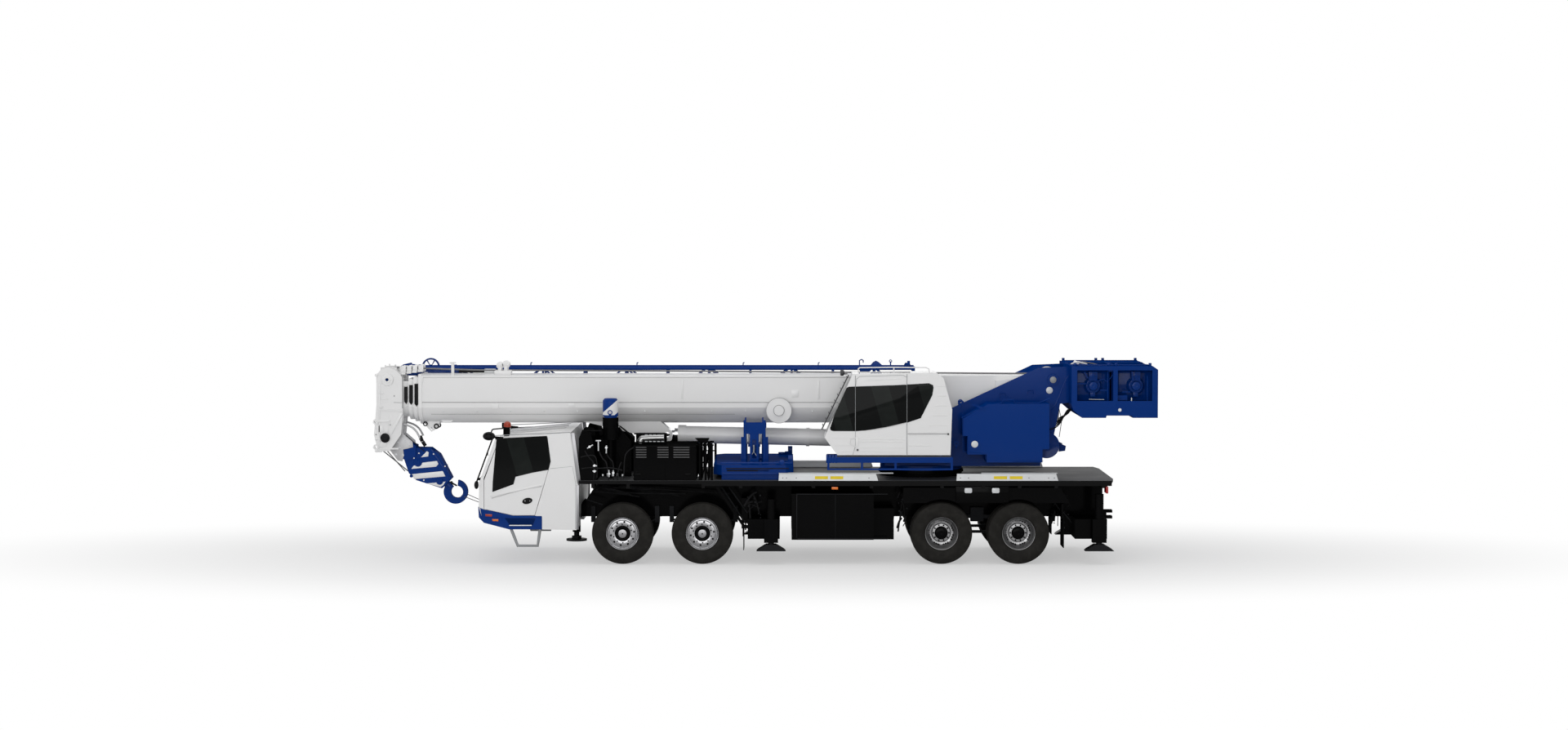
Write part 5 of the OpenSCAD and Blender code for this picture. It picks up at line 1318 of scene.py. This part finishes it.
# %% Hoses from the plates to the winches
hoses = []
for i in range(7):
    y, s = -.62 + .10 * i, i * 1.9
    points = [(1287 + s * .4, 503 - s), (1295 + s * .5, 492 - s), (1301 + s * .4, 474), (1308 + s * .5, 459),
              (1318 + s, 452 + s * .3), (1332 + s, 450 + s * .5)]
    hoses.append(line(points, y, .013, True, 3))
finish("winch_hoses", hoses, blue_paint, "superstructure")
lower = []
for i in range(5):
    y, s = -.66 + .12 * i, i * 2.0
    points = [(1279, 527 - s), (1290, 526 - s), (1299, 518 - s), (1303 + s * .5, 508),
              (1309 + s * .5, 499), (1322 + s, 497)]
    lower.append(line(points, y, .011, True, 3))
lower.append(line([(1297, 535), (1300, 515), (1296, 497)], -.60, .006))
finish("drum_hoses", lower, hose_rubber, "superstructure")
print("hoses")

# %% [markdown]
# ## Winches in the tail
# Two winches sit side by side in the tail. Seen from the side, each shows its blue motor with a ring of
# bolts, a valve block on top and hoses. The drums between the motors carry the rope, whose turns show as
# ribs.

# %% Motors, valve blocks and rope turns
for name, x0 in (("hoist", 6.054), ("second", 6.838)):
    z0 = 3.224
    motor = [turned([(.0005, -.96), (.075, -.955), (.085, -.94), (.088, -.90), (.128, -.895),
                     (.135, -.885), (.135, -.82), (.160, -.81), (.165, -.79),
                     (.165, -.42), (.0005, -.42)], (x0, 0, z0), 40)]
    motor += [bar((x0 + a, -.885, z0 + b), (x0 + a, -.905, z0 + b), .010, 6) for a, b in circle_of(10, .112)]
    motor += [block((x0 - .085, x0 + .075), (-.93, -.70), (z0 + .10, z0 + .27)),
              bar((x0 - .02, -.95, z0 + .19), (x0 - .02, -.70, z0 + .19), .05, 20),
              block((x0 - .05, x0 + .04), (-.90, -.74), (z0 - .20, z0 - .12))]
    both_sides(name + "_winch_motor", motor, blue_paint, "superstructure", .004)
    turns = turned([(.19, -.325)] + [(.21 + .009 * (k % 2), -.325 + .65 * k / 36)
                                     for k in range(37)] + [(.19, .325)], (x0, 0, z0), 48)
    finish(name + "_winch_rope", turns, wire_rope, "superstructure", smooth=60)
bay = []
for a, b in (((1356.5, 455), (1356.5, 505)), ((1365.5, 455), (1365.5, 470)), ((1333, 492), (1352, 492)),
             ((1386, 455), (1388, 466)),
             ((1405, 460), (1405, 504)), ((1318, 470), (1330, 470)), ((1374, 480), (1384, 480)),
             ((1328, 455), (1332, 463)), ((1402, 450.5), (1409, 450.5)), ((1347, 478), (1356, 478))):
    bay.append(line([a, b], -.99, .012, sides=2))
bay += [line([(1345, 467), (1351, 462), (1356, 470), (1363, 458)], -.97, .009, True),
        oblong(1411, 476, 1417, 481, -1.101, .01),
        oblong(1357, 449, 1366, 455, -1.0, .04),
        oblong(1366, 484, 1380, 490, -.96, .05)]
both_sides("winch_bay_pipes", bay, blue_paint, "superstructure", smooth=40)
bright = [line([(1355, 492.6), (1384, 492.6)], -1.03, .013, sides=2),
          line([(1385.5, 487), (1385.5, 494)], -1.03, .012),
          line([(1333, 489), (1352, 489.4)], -1.03, .006), *bolts([(1371, 502)], -1.101, .03, .03, 18)]
finish("winch_bay_bright_bar", bright, galvanised, "superstructure", smooth=40)
print("winches dressed")

# %% Rope guard and fittings on the tail
guard = [line([(1309, 449), (1312, 446), (1318, 443.2), (1324, 444), (1331, 446.5)], y, .020, True, 3)
         for y in (-.22, 0, .22)]
gx, gz = spot(1318, 443.8, 0)
guard.append(bar((gx, -.26, gz), (gx, .26, gz), .026, 16))
finish("tail_rope_guard", guard, white_paint, "superstructure", smooth=50)
tail_rope = line([(1325, 443), (1343, 446), (1358, 451), (1366, 452)], -.15, .010, True, 2)
finish("tail_rope", tail_rope, wire_rope, "superstructure")
tops = [block((x, x + .05), (y, y + .05), (3.595, 3.650)) for x in (5.68, 6.30, 6.43, 7.05)
        for y in (-1.06, 1.01)]
tops += [block((5.70, 7.10), (y, y + .02), (3.594, 3.614)) for y in (-.95, .93)]
finish("tail_top_fittings", tops, blue_paint, "superstructure", .004)
walls = [block((5.66, 6.37), (-.792, -.778), (2.95, 3.54)), block((6.48, 7.19), (-.792, -.778), (2.95, 3.54))]
both_sides("winch_side_walls", walls, blue_paint, "superstructure", .003)
print("tail dressed")

# %% [markdown]
# ## The carrier's deck and lamps
# Aluminium boards along the deck have bolts and yellow stripes. Below the deck edge are the marker lamps.
# Their plain blocks in the model are replaced by lenses, and two white lamps sit on a black panel.

# %% Stripes, bolts and lamps
BOARD = -1.4885
stripes = [oblong(a, 583.2, b, 586.9, BOARD, .0012) for a, b in
           ((997.8, 1013.8), (1016.8, 1032.6), (1217, 1233.2), (1236.4, 1252.2))]
both_sides("deck_stripes", stripes, yellow_paint, "carrier", smooth=0)
heads = bolts([(a, 585.4) for a in (958.5, 963, 975, 1064, 1128, 1176, 1186, 1260, 1284, 1291)],
              BOARD + .001, .009, .002, 8)
both_sides("deck_board_bolts", heads, dark_steel, "carrier", smooth=0)
ridges = [block((.30, 2.38), (-1.43 + .055 * i, -1.415 + .055 * i), (1.6595, 1.6635)) for i in range(4)]
ridges += [block((3.98, 5.36), (-1.43 + .055 * i, -1.415 + .055 * i), (1.6595, 1.6635)) for i in range(4)]
both_sides("deck_board_ridges", ridges, board_metal, "carrier", smooth=0)
marks = [oblong(1018.4, 596.3, 1026, 599.3, -1.466, .022)]
marker = both_sides("marker_lamps", marks, amber_plastic, "carrier", .004)
ovals = []
for px in (1185.6, 1219.2):
    ovals.append(shape(((px - 4.6, 598.4), (px - 3.6, 597.6), (px + 3.6, 597.6), (px + 4.6, 598.4),
                        (px + 4.6, 602.6), (px + 3.4, 603.8), (px - 3.4, 603.8), (px - 4.6, 602.6)),
                       -1.463, .024))
both_sides("white_side_lamps", ovals, clear_plastic, "carrier", .006)
panel = [oblong(1170.5, 595.6, 1235, 615.2, -1.44, .022)]
both_sides("side_lamp_panel", panel, black_paint, "carrier", .003)
tails = [block((6.235, 6.275), (-1.468, -1.17), (1.30, 1.425))]
both_sides("tail_lamps", tails, red_plastic, "carrier", .006)
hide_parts("carrier_lamps")
print("deck and lamps")

# %% [markdown]
# ## Pipes and rods below the deck
# The space under the deck is full of air tanks, brake pipes, cables and brackets. They are dark, so what
# reads is their broken silhouette and the small lights on them. Rods, hoses and small boxes at different
# depths do that.

# %% Under the deck
clutter = []
dice = random.Random(7)
for x0, x1, z0, z1, y in ((-3.25, -.55, 1.17, 1.38, -.75), (-.35, .0, .55, 1.3, -1.05),
                          (5.3, 5.65, .55, 1.3, -.7), (2.45, 2.65, .55, 1.3, -1.0)):
    for i in range(9):
        xa, xb = sorted((dice.uniform(x0, x1), dice.uniform(x0, x1)))
        za, zb = dice.uniform(z0, z1), dice.uniform(z0, z1)
        yy = y - dice.uniform(0, .12)
        clutter.append(pipe([(xa, yy, za), ((xa + xb) / 2, yy - .03, max(za, zb) - .02), (xb, yy, zb)],
                            .008 + .006 * (i % 3), 2))
both_sides("under_deck_pipes", clutter, hose_rubber, "carrier")
small = []
for x0, x1, z0, z1, y in ((-.33, -.02, .60, 1.25, -1.07), (5.32, 5.62, .6, 1.25, -.72),
                          (2.46, 2.64, .6, 1.2, -1.02)):
    for i in range(10):
        x, z = dice.uniform(x0, x1), dice.uniform(z0, z1)
        small.append(bar((x, y - .10, z), (x, y - .16, z), .010 + .006 * (i % 2), 10))
both_sides("under_deck_unions", small, dark_steel, "carrier", smooth=40)
stays = [line([(716, 611), (738, 618)], -1.05, .012), line([(884, 597), (912, 640)], -1.10, .016),
         line([(893, 597), (915, 628)], -1.12, .014),
         line([(1275, 597), (1312, 640)], -1.05, .016), line([(1260, 597), (1276, 597)], -1.05, .012)]
both_sides("under_deck_stays", stays, dark_steel, "carrier")
boxes = [block((.62, 2.28), (-1.393, -1.389), (1.275, 1.29)),
         block((1.325, 1.333), (-1.393, -1.389), (.45, 1.27)),
         block((.62, 2.28), (-1.394, -1.389), (.455, .475)),
         block((.62, .635), (-1.394, -1.389), (.455, 1.27))]
both_sides("side_box_edges", boxes, dark_steel, "carrier", .001)
print("under the deck")
